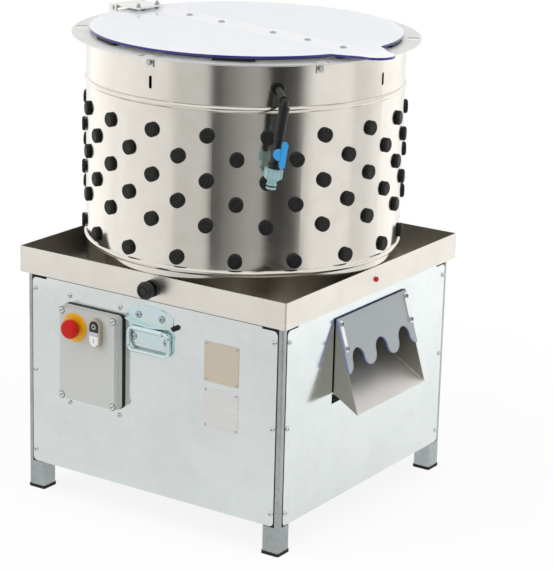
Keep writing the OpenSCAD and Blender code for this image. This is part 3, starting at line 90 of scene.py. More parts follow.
def linear(code: str) -> Colour:
    """Turns an sRGB hex colour to linear RGBA.

    Args:
        code: Six hex digits.

    Returns:
        Linear red, green, blue and an alpha of 1.
    """
    parts = [int(code[i : i + 2], 16) / 255 for i in (0, 2, 4)]
    bent = [c / 12.92 if c <= 0.04045 else ((c + 0.055) / 1.055) ** 2.4 for c in parts]
    return (bent[0], bent[1], bent[2], 1.0)


def add_node(
    tree: Tree, kind: str, links: Links | None = None, values: Values | None = None, **fields: object
) -> Node:
    """Adds one node with its settings and links.

    Args:
        tree: Node tree that gets the node.
        kind: Blender's type name of the node.
        links: Input name or number to the output socket that feeds it.
        values: Input name or number to its plain value.
        fields: Settings of the node itself.

    Returns:
        The new node.
    """
    node = tree.nodes.new(kind)
    for name, value in fields.items():
        setattr(node, name, value)
    for key, value in (values or {}).items():
        node.inputs[key].default_value = value
    for key, socket in (links or {}).items():
        tree.links.new(socket, node.inputs[key])
    return node


@dataclass(frozen=True)
class Surface:
    """The nodes of one material while it is being made; the point is in metres."""

    tree: Tree
    shader: Node
    point: Socket

    def fix(self, name: str, value: object) -> None:
        """Sets a shader input that is the same all over the surface."""
        self.shader.inputs[name].default_value = value

    def feed(self, name: str, source: Socket) -> None:
        """Lets a node feed a shader input."""
        self.tree.links.new(source, self.shader.inputs[name])

    def colour(self) -> Socket:
        """Gives the socket that feeds the shader's colour."""
        return self.shader.inputs["Base Color"].links[0].from_socket


@dataclass(frozen=True)
class Finish:
    """A surface, named for what it is made of and how it was made."""

    name: str
    hex: str
    roughness: float
    metallic: float = 0.0
    ior: float = 1.5

    def make(self) -> bpy.types.Material:
        """Builds the material, or gives the one that was built before.

        Returns:
            The finished material.
        """
        found = bpy.data.materials.get(self.name)
        if found is not None:
            return found
        material = bpy.data.materials.new(self.name)
        material.use_nodes = True
        tree = material.node_tree
        point = add_node(tree, "ShaderNodeTexCoord").outputs["Object"]
        on = Surface(tree, tree.nodes["Principled BSDF"], point)
        on.fix("Base Color", linear(self.hex))
        on.fix("Roughness", self.roughness)
        on.fix("Metallic", self.metallic)
        if self.metallic == 0.0:
            on.fix("IOR", self.ior)
        self.work(on)
        return material

    def work(self, on: Surface) -> None:
        """Adds this surface's own pattern to its shader."""
        raise NotImplementedError

    def mottle(self, on: Surface, size_mm: float, second: str, share: float) -> Socket:
        """Lays soft patches of a second tone, with a gloss that is uneven in the same patches.

        Args:
            on: Material that gets the patches.
            size_mm: Width of a patch.
            second: Hex colour of the second tone.
            share: How much of it shows where it is strongest.

        Returns:
            The patches, from 0 to 1.
        """
        values = {"Scale": 1 / (size_mm * MM), "Detail": 4.0, "Roughness": 0.55}
        patch = add_node(on.tree, "ShaderNodeTexNoise", {"Vector": on.point}, values).outputs[0]
        ends = {1: NOISE_SPAN[0], 2: NOISE_SPAN[1], 3: 0.0, 4: share}
        amount = add_node(on.tree, "ShaderNodeMapRange", {0: patch}, ends).outputs[0]
        tones = {6: linear(self.hex), 7: linear(second)}
        colour = add_node(on.tree, "ShaderNodeMix", {0: amount}, tones, data_type="RGBA").outputs[2]
        on.feed("Base Color", colour)
        self.vary_gloss(on, patch, NOISE_SPAN, GLOSS_SWING)
        return patch

    def vary_gloss(self, on: Surface, pattern: Socket, span: Pair, swing: Pair) -> None:
        """Lets the gloss follow a pattern.

        Args:
            on: Material whose gloss varies.
            pattern: Pattern that the gloss follows.
            span: Values of the pattern between which the gloss changes.
            swing: Shares of the finish's roughness at those two values.
        """
        ends = {1: span[0], 2: span[1], 3: swing[0] * self.roughness, 4: swing[1] * self.roughness}
        on.feed("Roughness", add_node(on.tree, "ShaderNodeMapRange", {0: pattern}, ends).outputs[0])

    def emboss(self, on: Surface, heights: Sequence[Height], edge_mm: float = 0.0) -> None:
        """Raises the surface by one or more heights, over softened edges if wished.

        Args:
            on: Material that gets the relief.
            heights: Height from 0 to 1, its depth in millimetres and the share that shows.
            edge_mm: Radius of moulded edges, 0 for none.
        """
        normal: Socket | None = None
        if edge_mm > 0:
            radius = {"Radius": edge_mm * MM}
            normal = add_node(on.tree, "ShaderNodeBevel", None, radius, samples=4).outputs[0]
        for height, depth_mm, share in heights:
            links: Links = {"Height": height}
            if normal is not None:
                links["Normal"] = normal
            values = {"Distance": depth_mm * MM, "Strength": share}
            normal = add_node(on.tree, "ShaderNodeBump", links, values).outputs[0]
        if normal is not None:
            on.feed("Normal", normal)


@dataclass(frozen=True)
class SpangledZinc(Finish):
    """Hot-dip zinc on steel: flat crystals, each a shade apart, over a soft mirror."""

    metallic: float = 1.0
    spangle_mm: float = 9.0
    contrast: float = 0.03
    dull_tone: str = "8e9492"
    stain_mm: float = 130.0
    stain_span: Pair = (0.42, 0.75)
    stain_share: float = 0.1
    # Distance of the cladding's edge from the middle, 0 for no painted shade beside it.
    joint_mm: float = 0.0
    joint_fade: Pair = (2.9, 1.8)
    joint_low: float = 60.0
    # Colour of the painted shade beside the cladding's edge.
    joint_shade_hex: str = "2e3030"
    gloss_span: Pair = (0.4, 1.6)
    gloss_swing: Pair = (0.85, 1.25)
    # Depth of the relief, and the share of it that shows.
    crystal_relief: Pair = (0.02, 0.12)
    cloud_relief: Pair = (0.25, 0.05)

    def work(self, on: Surface) -> None:
        """Lays the crystals, dull oxide patches and, on the legs, painted shade along the cladding's edge.

        Args:
            on: Material that gets them.
        """
        scale = {"Scale": 1 / (self.spangle_mm * MM), "Randomness": 1.0}
        crystal = add_node(on.tree, "ShaderNodeTexVoronoi", {"Vector": on.point}, scale).outputs["Color"]
        tone = add_node(on.tree, "ShaderNodeSeparateColor", {0: crystal}).outputs[0]
        ends = {3: 1 - self.contrast, 4: 1 + self.contrast}
        level = add_node(on.tree, "ShaderNodeMapRange", {0: tone}, ends).outputs[0]
        tinted = add_node(
            on.tree, "ShaderNodeVectorMath", {3: level}, {0: linear(self.hex)[:3]}, operation="SCALE"
        ).outputs[0]
        scale = {"Scale": 1 / (self.stain_mm * MM), "Detail": 5.0}
        cloud = add_node(on.tree, "ShaderNodeTexNoise", {"Vector": on.point}, scale).outputs[0]
        ends = {1: self.stain_span[0], 2: self.stain_span[1], 3: 0.0, 4: self.stain_share}
        dull = add_node(on.tree, "ShaderNodeMapRange", {0: cloud}, ends).outputs[0]
        colour = add_node(
            on.tree, "ShaderNodeMix", {0: dull, 6: tinted}, {7: linear(self.dull_tone)}, data_type="RGBA"
        ).outputs[2]
        if self.joint_mm > 0:
            colour = self.paint_joint_shade(on, colour)
        on.feed("Base Color", colour)
        mixed = add_node(on.tree, "ShaderNodeMath", {0: tone, 1: cloud}, operation="ADD").outputs[0]
        self.vary_gloss(on, mixed, self.gloss_span, self.gloss_swing)
        self.emboss(on, [(tone, *self.crystal_relief), (cloud, *self.cloud_relief)])

    def paint_joint_shade(self, on: Surface, unshaded: Socket) -> Socket:
        """Darkens a leg beside the cladding's edge with painted shade, for the shadow in the gap to the
        panel.

        Args:
            on: Material of the leg.
            unshaded: Colour of the leg without the painted shade.

        Returns:
            The colour with the painted shade.
        """
        size = add_node(on.tree, "ShaderNodeVectorMath", {0: on.point}, operation="ABSOLUTE").outputs[0]
        parts = add_node(on.tree, "ShaderNodeSeparateXYZ", {0: size}).outputs
        near = add_node(on.tree, "ShaderNodeMath", {0: parts[0], 1: parts[1]}, operation="MINIMUM").outputs[0]
        edge = {1: (self.joint_mm + self.joint_fade[0]) * MM, 2: (self.joint_mm + self.joint_fade[1]) * MM}
        beside = add_node(on.tree, "ShaderNodeMapRange", {0: near}, edge).outputs[0]
        above = add_node(
            on.tree, "ShaderNodeMath", {0: parts[2]}, {1: self.joint_low * MM}, operation="GREATER_THAN"
        ).outputs[0]
        joint_shade_mask = add_node(on.tree, "ShaderNodeMath", {0: beside, 1: above}, operation="MULTIPLY").outputs[0]
        return add_node(
            on.tree, "ShaderNodeMix", {0: joint_shade_mask, 6: unshaded}, {7: linear(self.joint_shade_hex)}, data_type="RGBA"
        ).outputs[2]


@dataclass(frozen=True)
class RolledStainless(Finish):
    """Cold-rolled stainless sheet: a warm soft mirror drawn along its rolling lines, with cloudy patches."""

    metallic: float = 1.0
    grain: Grain = Grain.ROUND
    # Real rolling lines are about 0.05 mm apart; they are drawn coarser, so that they show.
    line_mm: float = 1.6
    line_deep: float = 0.008
    line_share: float = 0.12
    # Width of a line as a share of its length.
    line_slim: float = 0.012
    cloud_mm: float = 70.0
    cloud_share: float = 0.12
    cloud_hex: str = "b3a791"
    smear_mm: float = 32.0
    wave_mm: float = 90.0
    wave_deep: float = 1.2
    wave_share: float = 0.1
    gloss_span: Pair = (0.7, 1.3)
    gloss_swing: Pair = (0.88, 1.18)

    def work(self, on: Surface) -> None:
        """Draws the rolling lines, the clouds, finger marks and the sheet's slight waves.

        Args:
            on: Material that gets them.
        """
        long, short = self.line_slim / (self.line_mm * MM), 1 / (self.line_mm * MM)
        stretch = {
            Grain.ROUND: (long, long, short),
            Grain.ALONG_X: (long, short, short),
            Grain.ALONG_Y: (short, long, short),
        }[self.grain]
        drawn = add_node(on.tree, "ShaderNodeMapping", {"Vector": on.point}, {"Scale": stretch}).outputs[0]
        values = {"Scale": 1.0, "Detail": 3.0, "Roughness": 0.6}
        lines = add_node(on.tree, "ShaderNodeTexNoise", {"Vector": drawn}, values).outputs[0]
        self.mottle(on, self.cloud_mm, self.cloud_hex, self.cloud_share)
        values = {"Scale": 1 / (self.smear_mm * MM), "Detail": 6.0}
        smear = add_node(on.tree, "ShaderNodeTexNoise", {"Vector": on.point}, values).outputs[0]
        both = add_node(on.tree, "ShaderNodeMath", {0: lines, 1: smear}, operation="ADD").outputs[0]
        self.vary_gloss(on, both, self.gloss_span, self.gloss_swing)
        values = {"Scale": 1 / (self.wave_mm * MM), "Detail": 1.0}
        wave = add_node(on.tree, "ShaderNodeTexNoise", {"Vector": on.point}, values).outputs[0]
        self.emboss(on, [(lines, self.line_deep, self.line_share), (wave, self.wave_deep, self.wave_share)])


@dataclass(frozen=True)
class FoldedChuteSteel(RolledStainless):
    """Folded stainless sheet: side walls darkened with painted shade, and a painted shadow where they pass
    behind the cladding.
    """

    wall_mm: float = 132.8
    # Tone of the side walls: painted shade, darker than the chute's floor.
    wall_shade_hex: str = "a9a79c"
    outer_mm: float = 134.2
    leave_mm: float = 322.6
    # Colour of the painted shadow in the gap beside the chute, behind the cladding.
    joint_shade_hex: str = "141515"

    def work(self, on: Surface) -> None:
        """Adds the side walls' painted shade, and the painted shadow where they pass behind the cladding, to
        the rolled sheet.

        Args:
            on: Material that gets them.
        """
        super().work(on)
        parts = add_node(on.tree, "ShaderNodeSeparateXYZ", {0: on.point}).outputs
        size = add_node(on.tree, "ShaderNodeMath", {0: parts[1]}, operation="ABSOLUTE").outputs[0]
        wall = add_node(
            on.tree, "ShaderNodeMath", {0: size}, {1: self.wall_mm * MM}, operation="GREATER_THAN"
        ).outputs[0]
        walls_shaded = add_node(
            on.tree, "ShaderNodeMix", {0: wall, 6: on.colour()}, {7: linear(self.wall_shade_hex)}, data_type="RGBA"
        ).outputs[2]
        outer = add_node(
            on.tree, "ShaderNodeMath", {0: size}, {1: self.outer_mm * MM}, operation="GREATER_THAN"
        ).outputs[0]
        behind = add_node(
            on.tree, "ShaderNodeMath", {0: parts[0]}, {1: self.leave_mm * MM}, operation="LESS_THAN"
        ).outputs[0]
        gap_shade_mask = add_node(on.tree, "ShaderNodeMath", {0: outer, 1: behind}, operation="MULTIPLY").outputs[0]
        gap_shaded = add_node(
            on.tree, "ShaderNodeMix", {0: gap_shade_mask, 6: walls_shaded}, {7: linear(self.joint_shade_hex)}, data_type="RGBA"
        ).outputs[2]
        on.feed("Base Color", gap_shaded)


@dataclass(frozen=True)
class WeldedTraySteel(RolledStainless):
    """Welded stainless tray: bright outside, duller and greyer inside."""

    inside_mm: float = 330.6
    # Greyer tone of the tray's inside.
    inside_hex: str = "b9b6b0"

    def work(self, on: Surface) -> None:
        """Adds the greyer inside to the rolled sheet.

        Args:
            on: Material that gets it.
        """
        super().work(on)
        size = add_node(on.tree, "ShaderNodeVectorMath", {0: on.point}, operation="ABSOLUTE").outputs[0]
        parts = add_node(on.tree, "ShaderNodeSeparateXYZ", {0: size}).outputs
        far = add_node(on.tree, "ShaderNodeMath", {0: parts[0], 1: parts[1]}, operation="MAXIMUM").outputs[0]
        inside = add_node(
            on.tree, "ShaderNodeMath", {0: far}, {1: self.inside_mm * MM}, operation="LESS_THAN"
        ).outputs[0]
        dull_tone = {7: linear(self.inside_hex)}
        darker_inside = add_node(
            on.tree, "ShaderNodeMix", {0: inside, 6: on.colour()}, dull_tone, data_type="RGBA"
        ).outputs[2]
        on.feed("Base Color", darker_inside)


@dataclass(frozen=True)
class MouldedRubber(Finish):
    """Rubber from a mould: black and matt, with a little grey bloom on a pebbled skin."""

    ior: float = 1.52
    specular: float = 0.3
    bloom_mm: float = 26.0
    bloom_hex: str = "202020"
    bloom_share: float = 0.5
    # The real skin is pebbled at about 0.2 mm; it is drawn coarser, so that it shows.
    skin_mm: float = 1.4
    skin_relief: Pair = (0.12, 0.5)
    edge_mm: float = 1.2

    def work(self, on: Surface) -> None:
        """Adds bloom and skin over rounded edges.

        Args:
            on: Material that gets them.
        """
        on.fix("Specular IOR Level", self.specular)
        self.mottle(on, self.bloom_mm, self.bloom_hex, self.bloom_share)
        values = {"Scale": 1 / (self.skin_mm * MM), "Detail": 2.0}
        skin = add_node(on.tree, "ShaderNodeTexNoise", {"Vector": on.point}, values).outputs[0]
        self.emboss(on, [(skin, *self.skin_relief)], self.edge_mm)


@dataclass(frozen=True)
class MouldedPlastic(Finish):
    """Injection-moulded plastic: a fine spark-eroded grain, softly rounded edges, an even sheen."""

    ior: float = 1.53
    specular: float = 0.4
    # Real spark-eroded grain is about 0.15 mm; it is drawn coarser, so that it shows.
    grain_mm: float = 0.9
    grain_relief: Pair = (0.05, 0.4)
    edge_mm: float = 1.5
    scuff: str = "8c8c88"
    scuff_mm: float = 45.0
    scuff_share: float = 0.15

    def work(self, on: Surface) -> None:
        """Adds grain, faint scuffs and an uneven gloss.

        Args:
            on: Material that gets them.
        """
        on.fix("Specular IOR Level", self.specular)
        self.mottle(on, self.scuff_mm, self.scuff, self.scuff_share)
        values = {"Scale": 1 / (self.grain_mm * MM), "Detail": 2.0}
        grain = add_node(on.tree, "ShaderNodeTexNoise", {"Vector": on.point}, values).outputs[0]
        self.emboss(on, [(grain, *self.grain_relief)], self.edge_mm)


@dataclass(frozen=True)
class CutPolycarbonate(Finish):
    """Polycarbonate sheet: pale glossy faces, and cut edges that gather a deep violet blue."""

    ior: float = 1.585
    face: Point = (0.0, 0.0, 1.0)
    edge_hex: str = "2b2f7a"
    # How far a surface may turn from the sheet's face before it counts as an edge.
    edge_span: Pair = (0.4, 0.7)
    transmission: float = 0.4
    # Light that spreads inside the sheet, and how far, in metres.
    milky: float = 0.0
    milky_m: float = 0.02
    wipe_mm: float = 90.0
    wipe_hex: str = "dfe6f2"
    wipe_share: float = 0.2
    wipe_relief: Pair = (0.03, 0.05)
    # Bar that backs the sheet: its direction, half width and soft edge, colour and share.
    bar_deg: float = 0.0
    bar_mm: float = 0.0
    bar_soft: float = 0.5
    bar_hex: str = "ffffff"
    bar_share: float = 0.8

    def work(self, on: Surface) -> None:
        """Tells faces from edges by the surface's own direction, and shows the bar that backs the sheet.

        Args:
            on: Material that gets them.
        """
        on.fix("Subsurface Weight", self.milky)
        on.fix("Subsurface Radius", WHITE[:3])
        on.fix("Subsurface Scale", self.milky_m)
        wipe = self.mottle(on, self.wipe_mm, self.wipe_hex, self.wipe_share)
        pale = on.colour()
        if self.bar_mm > 0:
            pale = self.backed(on, pale)
        normal = add_node(on.tree, "ShaderNodeNewGeometry").outputs["True Normal"]
        # The sheet's own frame, so that faces and edges stay what they are when the lid swings.
        own = add_node(
            on.tree, "ShaderNodeVectorTransform", {0: normal}, vector_type="NORMAL", convert_from="WORLD",
            convert_to="OBJECT",
        ).outputs[0]
        facing = add_node(
            on.tree, "ShaderNodeVectorMath", {0: own}, {1: self.face}, operation="DOT_PRODUCT"
        ).outputs[1]
        size = add_node(on.tree, "ShaderNodeMath", {0: facing}, operation="ABSOLUTE").outputs[0]
        ends = {1: self.edge_span[0], 2: self.edge_span[1]}
        flat = add_node(on.tree, "ShaderNodeMapRange", {0: size}, ends).outputs[0]
        colour = add_node(
            on.tree, "ShaderNodeMix", {0: flat, 7: pale}, {6: linear(self.edge_hex)}, data_type="RGBA"
        ).outputs[2]
        on.feed("Base Color", colour)
        clear = add_node(on.tree, "ShaderNodeMapRange", {0: flat}, {3: 0.0, 4: self.transmission}).outputs[0]
        on.feed("Transmission Weight", clear)
        self.emboss(on, [(wipe, *self.wipe_relief)])

    def backed(self, on: Surface, pale: Socket) -> Socket:
        """Lightens the band of the sheet that has the bar under it.

        Args:
            on: Material of the sheet.
            pale: Colour of the sheet alone.

        Returns:
            The colour with the band.
        """
        turn = {"Angle": math.radians(-self.bar_deg)}
        turned = add_node(
            on.tree, "ShaderNodeVectorRotate", {"Vector": on.point}, turn, rotation_type="Z_AXIS"
        ).outputs[0]
        across = add_node(on.tree, "ShaderNodeSeparateXYZ", {0: turned}).outputs[1]
        away = add_node(on.tree, "ShaderNodeMath", {0: across}, operation="ABSOLUTE").outputs[0]
        outer, inner = self.bar_mm + self.bar_soft, self.bar_mm - self.bar_soft
        edge = {1: outer * MM, 2: inner * MM, 3: 0.0, 4: self.bar_share}
        band = add_node(on.tree, "ShaderNodeMapRange", {0: away}, edge).outputs[0]
        return add_node(
            on.tree, "ShaderNodeMix", {0: band, 6: pale}, {7: linear(self.bar_hex)}, data_type="RGBA"
        ).outputs[2]


@dataclass(frozen=True)
class PlatedSteel(Finish):
    """Zinc-plated steel, passivated: bright, with a faint drift from blue to straw."""

    metallic: float = 1.0
    drift: str = "cfc9a8"
    drift_mm: float = 14.0
    drift_share: float = 0.3
    # Real tumbling marks are about 0.1 mm; they are drawn coarser, so that they show.
    tumble_mm: float = 1.2
    tumble_relief: Pair = (0.02, 0.2)
    edge_mm: float = 0.8

    def work(self, on: Surface) -> None:
        """Lays the drift of the passivation and a fine tumbled texture.

        Args:
            on: Material that gets them.
        """
        self.mottle(on, self.drift_mm, self.drift, self.drift_share)
        values = {"Scale": 1 / (self.tumble_mm * MM), "Detail": 2.0}
        fine = add_node(on.tree, "ShaderNodeTexNoise", {"Vector": on.point}, values).outputs[0]
        self.emboss(on, [(fine, *self.tumble_relief)], self.edge_mm)


@dataclass(frozen=True)
class AnodisedPlates(Finish):
    """Two blank anodised aluminium plates: the upper bronze, the lower natural, both brushed across."""

    metallic: float = 0.6
    lower_hex: str = "dededb"
    split_mm: float = 327.0
    # Real brushing is about 0.1 mm wide; it is drawn coarser, so that it shows.
    line_mm: float = 1.2
    line_slim: float = 0.02
    line_relief: Pair = (0.01, 0.2)
    line_tones: Pair = (0.94, 1.05)

    def work(self, on: Surface) -> None:
        """Splits the colour between the plates by height and draws the brushing.

        Args:
            on: Material that gets them.
        """
        height = add_node(on.tree, "ShaderNodeSeparateXYZ", {0: on.point}).outputs[2]
        upper = add_node(
            on.tree, "ShaderNodeMath", {0: height}, {1: self.split_mm * MM}, operation="GREATER_THAN"
        ).outputs[0]
        tones = {6: linear(self.lower_hex), 7: linear(self.hex)}
        colour = add_node(on.tree, "ShaderNodeMix", {0: upper}, tones, data_type="RGBA").outputs[2]
        short = 1 / (self.line_mm * MM)
        stretch = {"Scale": (self.line_slim * short, short, short)}
        drawn = add_node(on.tree, "ShaderNodeMapping", {"Vector": on.point}, stretch).outputs[0]
        values = {"Scale": 1.0, "Detail": 2.0}
        lines = add_node(on.tree, "ShaderNodeTexNoise", {"Vector": drawn}, values).outputs[0]
        ends = {1: NOISE_SPAN[0], 2: NOISE_SPAN[1], 3: self.line_tones[0], 4: self.line_tones[1]}
        tone = add_node(on.tree, "ShaderNodeMapRange", {0: lines}, ends).outputs[0]
        shaded = add_node(on.tree, "ShaderNodeVectorMath", {0: colour, 3: tone}, operation="SCALE").outputs[0]
        on.feed("Base Color", shaded)
        self.vary_gloss(on, lines, NOISE_SPAN, GLOSS_SWING)
        self.emboss(on, [(lines, *self.line_relief)])


@dataclass(frozen=True)
class EnamelledIron(Finish):
    """Cast or welded iron under machine enamel: a soft orange peel with dust in its hollows."""

    peel_mm: float = 3.0
    peel_relief: Pair = (0.15, 0.4)
    dust_mm: float = 60.0
    dust_hex: str = "7d7a72"
    dust_share: float = 0.25
    edge_mm: float = 1.5

    def work(self, on: Surface) -> None:
        """Adds the peel, dust and a worn gloss.

        Args:
            on: Material that gets them.
        """
        self.mottle(on, self.dust_mm, self.dust_hex, self.dust_share)
        values = {"Scale": 1 / (self.peel_mm * MM), "Detail": 3.0}
        peel = add_node(on.tree, "ShaderNodeTexNoise", {"Vector": on.point}, values).outputs[0]
        self.emboss(on, [(peel, *self.peel_relief)], self.edge_mm)


@dataclass(frozen=True)
class WeldMetal(Finish):
    """Weld metal left as laid: straw and blue heat colours over grey ripples."""

    metallic: float = 1.0
    heat: str = "77727a"
    heat_mm: float = 6.0
    ripple_relief: Pair = (0.1, 0.4)

    def work(self, on: Surface) -> None:
        """Lays the heat colours in short patches."""
        patch = self.mottle(on, self.heat_mm, self.heat, 1.0)
        self.emboss(on, [(patch, *self.ripple_relief)])


# Older, duller zinc than the sheets, with painted shade where the cladding ends.
LEG_ZINC = SpangledZinc(
    "hot_dip_zinc_tube", "b2b8b9", 0.34, spangle_mm=7.0, contrast=0.1, stain_share=0.5, joint_mm=306.5
)
# Fresh zinc sheet, pale and glossy enough to mirror the chute and the control box.
SHEET_ZINC = SpangledZinc(
    "hot_dip_zinc_sheet", "e6eceb", 0.13, spangle_mm=11.0, contrast=0.012, stain_share=0.12
)
# Inner rails: dull zinc like the legs', painted darker grey as shade for the shadow behind the cladding.
RAIL_ZINC = SpangledZinc(
    "hot_dip_zinc_rail", "8f9596", 0.45, spangle_mm=7.0, contrast=0.1, stain_share=0.5
)
# Rolled round the drum: a warm mirror with soft vertical bands of the room in it.
DRUM_STEEL = RolledStainless("stainless_cold_rolled_drum", "e4e0d8", 0.13, cloud_mm=45.0, cloud_share=0.16)
# Folded and welded: cloudier, warmer and softer in its reflections than the drum.
TRAY_STEEL = WeldedTraySteel(
    "stainless_cold_rolled_tray", "ece8df", 0.33, grain=Grain.ALONG_X, cloud_share=0.14, cloud_mm=60.0,
    wave_share=0.03, line_share=0.03,
)
# Cut ring, brushed flat, that stays pale at a low angle.
RING_STEEL = RolledStainless("stainless_brushed_ring", "e9e9e6", 0.48, grain=Grain.ALONG_Y, wave_share=0.0)
# Sheet seen at close range: grey, with fine drawn lines down the slope.
CHUTE_STEEL = FoldedChuteSteel(
    "stainless_cold_rolled_chute", "e4e2de", 0.42, grain=Grain.ALONG_X, wave_share=0.0, line_share=0.05
)
# Cut strips and hinge leaves, brushed pale.
STRIP_STEEL = RolledStainless("stainless_brushed_strip", "f3f2ef", 0.36, grain=Grain.ALONG_X, wave_share=0.0)
# Flat plate that water and feathers have scoured to a cloudy satin.
PLATE_STEEL = RolledStainless("stainless_scoured_plate", "d2cfc8", 0.3, grain=Grain.ALONG_X, cloud_share=0.2)
# Small bright screws and bolts, with glints of straw.
FIXING_ZINC = PlatedSteel("zinc_plated_fixings", "d9dedf", 0.2, drift_mm=5.0)
# Older bolts and rivets, greyer.
BOLT_ZINC = PlatedSteel("zinc_plated_grey_bolts", "b9bfc0", 0.26, drift="8f9290", drift_mm=5.0)
# Pressed handle with a clear blue cast that drifts to straw.
HANDLE_ZINC = PlatedSteel(
    "zinc_blue_passivated_handle", "d3eaf1", 0.2, drift="e0d9b8", drift_mm=22.0, drift_share=0.35
)
# Turned bright and oiled: a clean grey mirror.
SHAFT_STEEL = PlatedSteel("steel_turned_shaft", "c6c8c9", 0.22, drift="b9b6ae")
# Satin metal round the buttons, a warm grey.
BEZEL_METAL = PlatedSteel("zinc_alloy_satin_plated_bezel", "cfc6b4", 0.36, drift="b9ae98", drift_mm=20.0)
# Soft black fingers that grip feathers, matt all over.
FINGER_RUBBER = MouldedRubber("natural_rubber_moulded_fingers", "0f0f0f", 0.55)
# A line across each finger head, drawn greyer than the head around it as a painted highlight.
HEAD_LINE_HIGHLIGHT = MouldedRubber("natural_rubber_head_line_painted_highlight", "343331", 0.6)
# Seals, caps, pads and belt: dense black, with a dull bloom.
SEAL_RUBBER = MouldedRubber("nitrile_rubber_moulded", "101010", 0.55)
# Pipe, tap and drain: black with a waxy sheen.
BLACK_PLASTIC = MouldedPlastic("polypropylene_moulded_black", "161717", 0.34, ior=1.49, scuff="343433")
# Enclosure: an even satin grey with rounded edges that catch the light.
GREY_ABS = MouldedPlastic("abs_moulded_light_grey", "c8cac5", 0.42, ior=1.54, scuff="bcbeb9", edge_mm=2.2)
# Enclosure screws, a shade lighter and glossier than the lid.
SCREW_NYLON = MouldedPlastic("nylon_moulded_grey_screw", "d3d5d1", 0.36, scuff="c4c6c1", edge_mm=0.6)
# Tap lever: a clear blue with a soft highlight.
BLUE_NYLON = MouldedPlastic("nylon_moulded_blue", "3aa4e4", 0.33, scuff="318fcb", edge_mm=1.2)
# Hose connector: a chalky sea green.
TEAL_PLASTIC = MouldedPlastic("polyamide_moulded_sea_green", "9cbcbd", 0.4, scuff="88a8aa", edge_mm=0.8)
# Emergency stop and lamp: deep red and glossy.
RED_PLASTIC = MouldedPlastic(
    "abs_moulded_red", "c6130d", 0.28, ior=1.54, scuff="a8110c", edge_mm=2.0, specular=0.22
)
# Plain disc behind the stop: a flat warm yellow.
YELLOW_PLASTIC = MouldedPlastic("abs_moulded_yellow", "f0b40f", 0.4, ior=1.54, scuff="dba40f", edge_mm=0.5)
# Stop button: glossy black.
BUTTON_BLACK = MouldedPlastic(
    "polycarbonate_moulded_black", "1c1c1b", 0.3, ior=1.585, scuff="282826", edge_mm=0.6
)
# Start button: glossy warm white.
BUTTON_WHITE = MouldedPlastic(
    "polycarbonate_moulded_white", "eeece6", 0.3, ior=1.585, scuff="dedcd5", edge_mm=0.6
)
# Unlit lens between the buttons: a smooth milky lilac.
LENS_LILAC = MouldedPlastic(
    "polycarbonate_moulded_lilac_lens", "c3c2d6", 0.2, ior=1.585, scuff="b2b1cb", edge_mm=0.6
)
# Printed signs: flat and matt, without a sheen of their own.
INK_WHITE = MouldedPlastic("ink_pad_printed_white", "efefec", 0.5, scuff="dcdcd8", edge_mm=0.2)
INK_GREY = MouldedPlastic("ink_pad_printed_grey", "82827f", 0.5, scuff="6f6f6c", edge_mm=0.2)
# Lid: nearly white with a blue cast, glossy on top, violet at its cut edge.
LID_SHEET = CutPolycarbonate(
    "polycarbonate_extruded_lid", "f3f8ff", 0.1, transmission=0.15, milky=0.45, bar_deg=-13.0, bar_mm=30.0,
    bar_hex="fcfdff",
)
# Bar under the lid: clearer than the lid, with the same cut edge.
BAR_SHEET = CutPolycarbonate("polycarbonate_cut_bar", "f1f5fc", 0.1, transmission=0.3)
# Guard: smoky clear over the dark chute, with pale violet edges round its scallops: the violet is the sheet's
# own, the paleness is painted light on the cut edges.
GUARD_SHEET = CutPolycarbonate(
    "polycarbonate_cut_guard", "cfd6d8", 0.07, face=(0.9554, 0.0, 0.2952), edge_hex="7d84cf", transmission=0.5
)
# Blank plates: soft metal tones with fine lines across.
RATING_PLATE = AnodisedPlates("aluminium_anodised_plates", "d0c5b3", 0.36)
# Motor: blue grey under dust, with a low gloss.
MOTOR_PAINT = EnamelledIron("cast_iron_enamelled_blue_grey", "48606f", 0.42)
# Pulleys, bearing and motor plate: dark grey, duller than the motor.
IRON_PAINT = EnamelledIron("cast_iron_enamelled_dark_grey", "3f464c", 0.48)
# Painted shade for slots, sockets and gaps: near black, with no highlight.
RECESS_SHADE = EnamelledIron("painted_recess_shade", "1f2021", 0.6)
# Weld beads at the tray's corners: bright ripples with straw heat marks.
CORNER_WELD = WeldMetal("stainless_weld_bead", "e6dfd2", 0.34, heat="b8afa2")
# Ground welds in the chute: a thin rippled bead, whose pale tone is a painted highlight along the fold.
CHUTE_WELD_HIGHLIGHT = WeldMetal("stainless_weld_painted_highlight", "f2f0ec", 0.35, heat="e2dfd8")


def dress(finish: Finish, *nodes: str) -> None:
    """Gives CAD nodes a finish.

    Args:
        finish: Finish to use.
        nodes: Names of the nodes.
    """
    material = finish.make()
    for name in nodes:
        mesh = bpy.data.objects[name].data
        mesh.materials.clear()
        mesh.materials.append(material)
        LOG.info("%s: %s", name, finish.name)


def add_piece(name: str, form: Form, finish: Finish, body: str) -> None:
    """Makes a piece from a finished mesh and lets it ride on a body.

    Args:
        name: Name of the piece.
        form: Mesh in the row frame, in metres; it is freed.
        finish: Finish to use.
        body: CAD body that carries the piece.
    """
    bmesh.ops.recalc_face_normals(form, faces=form.faces)
    mesh = bpy.data.meshes.new(name)
    form.to_mesh(mesh)
    form.free()
    mesh.materials.append(finish.make())
    mesh.shade_smooth()
    mesh.set_sharp_from_angle(angle=math.radians(CREASE_DEG))
    piece = bpy.data.objects.new(name, mesh)
    bpy.context.scene.collection.objects.link(piece)
    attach(piece, body)
    LOG.info("%s: made, %d faces, on %s", name, len(mesh.polygons), body)


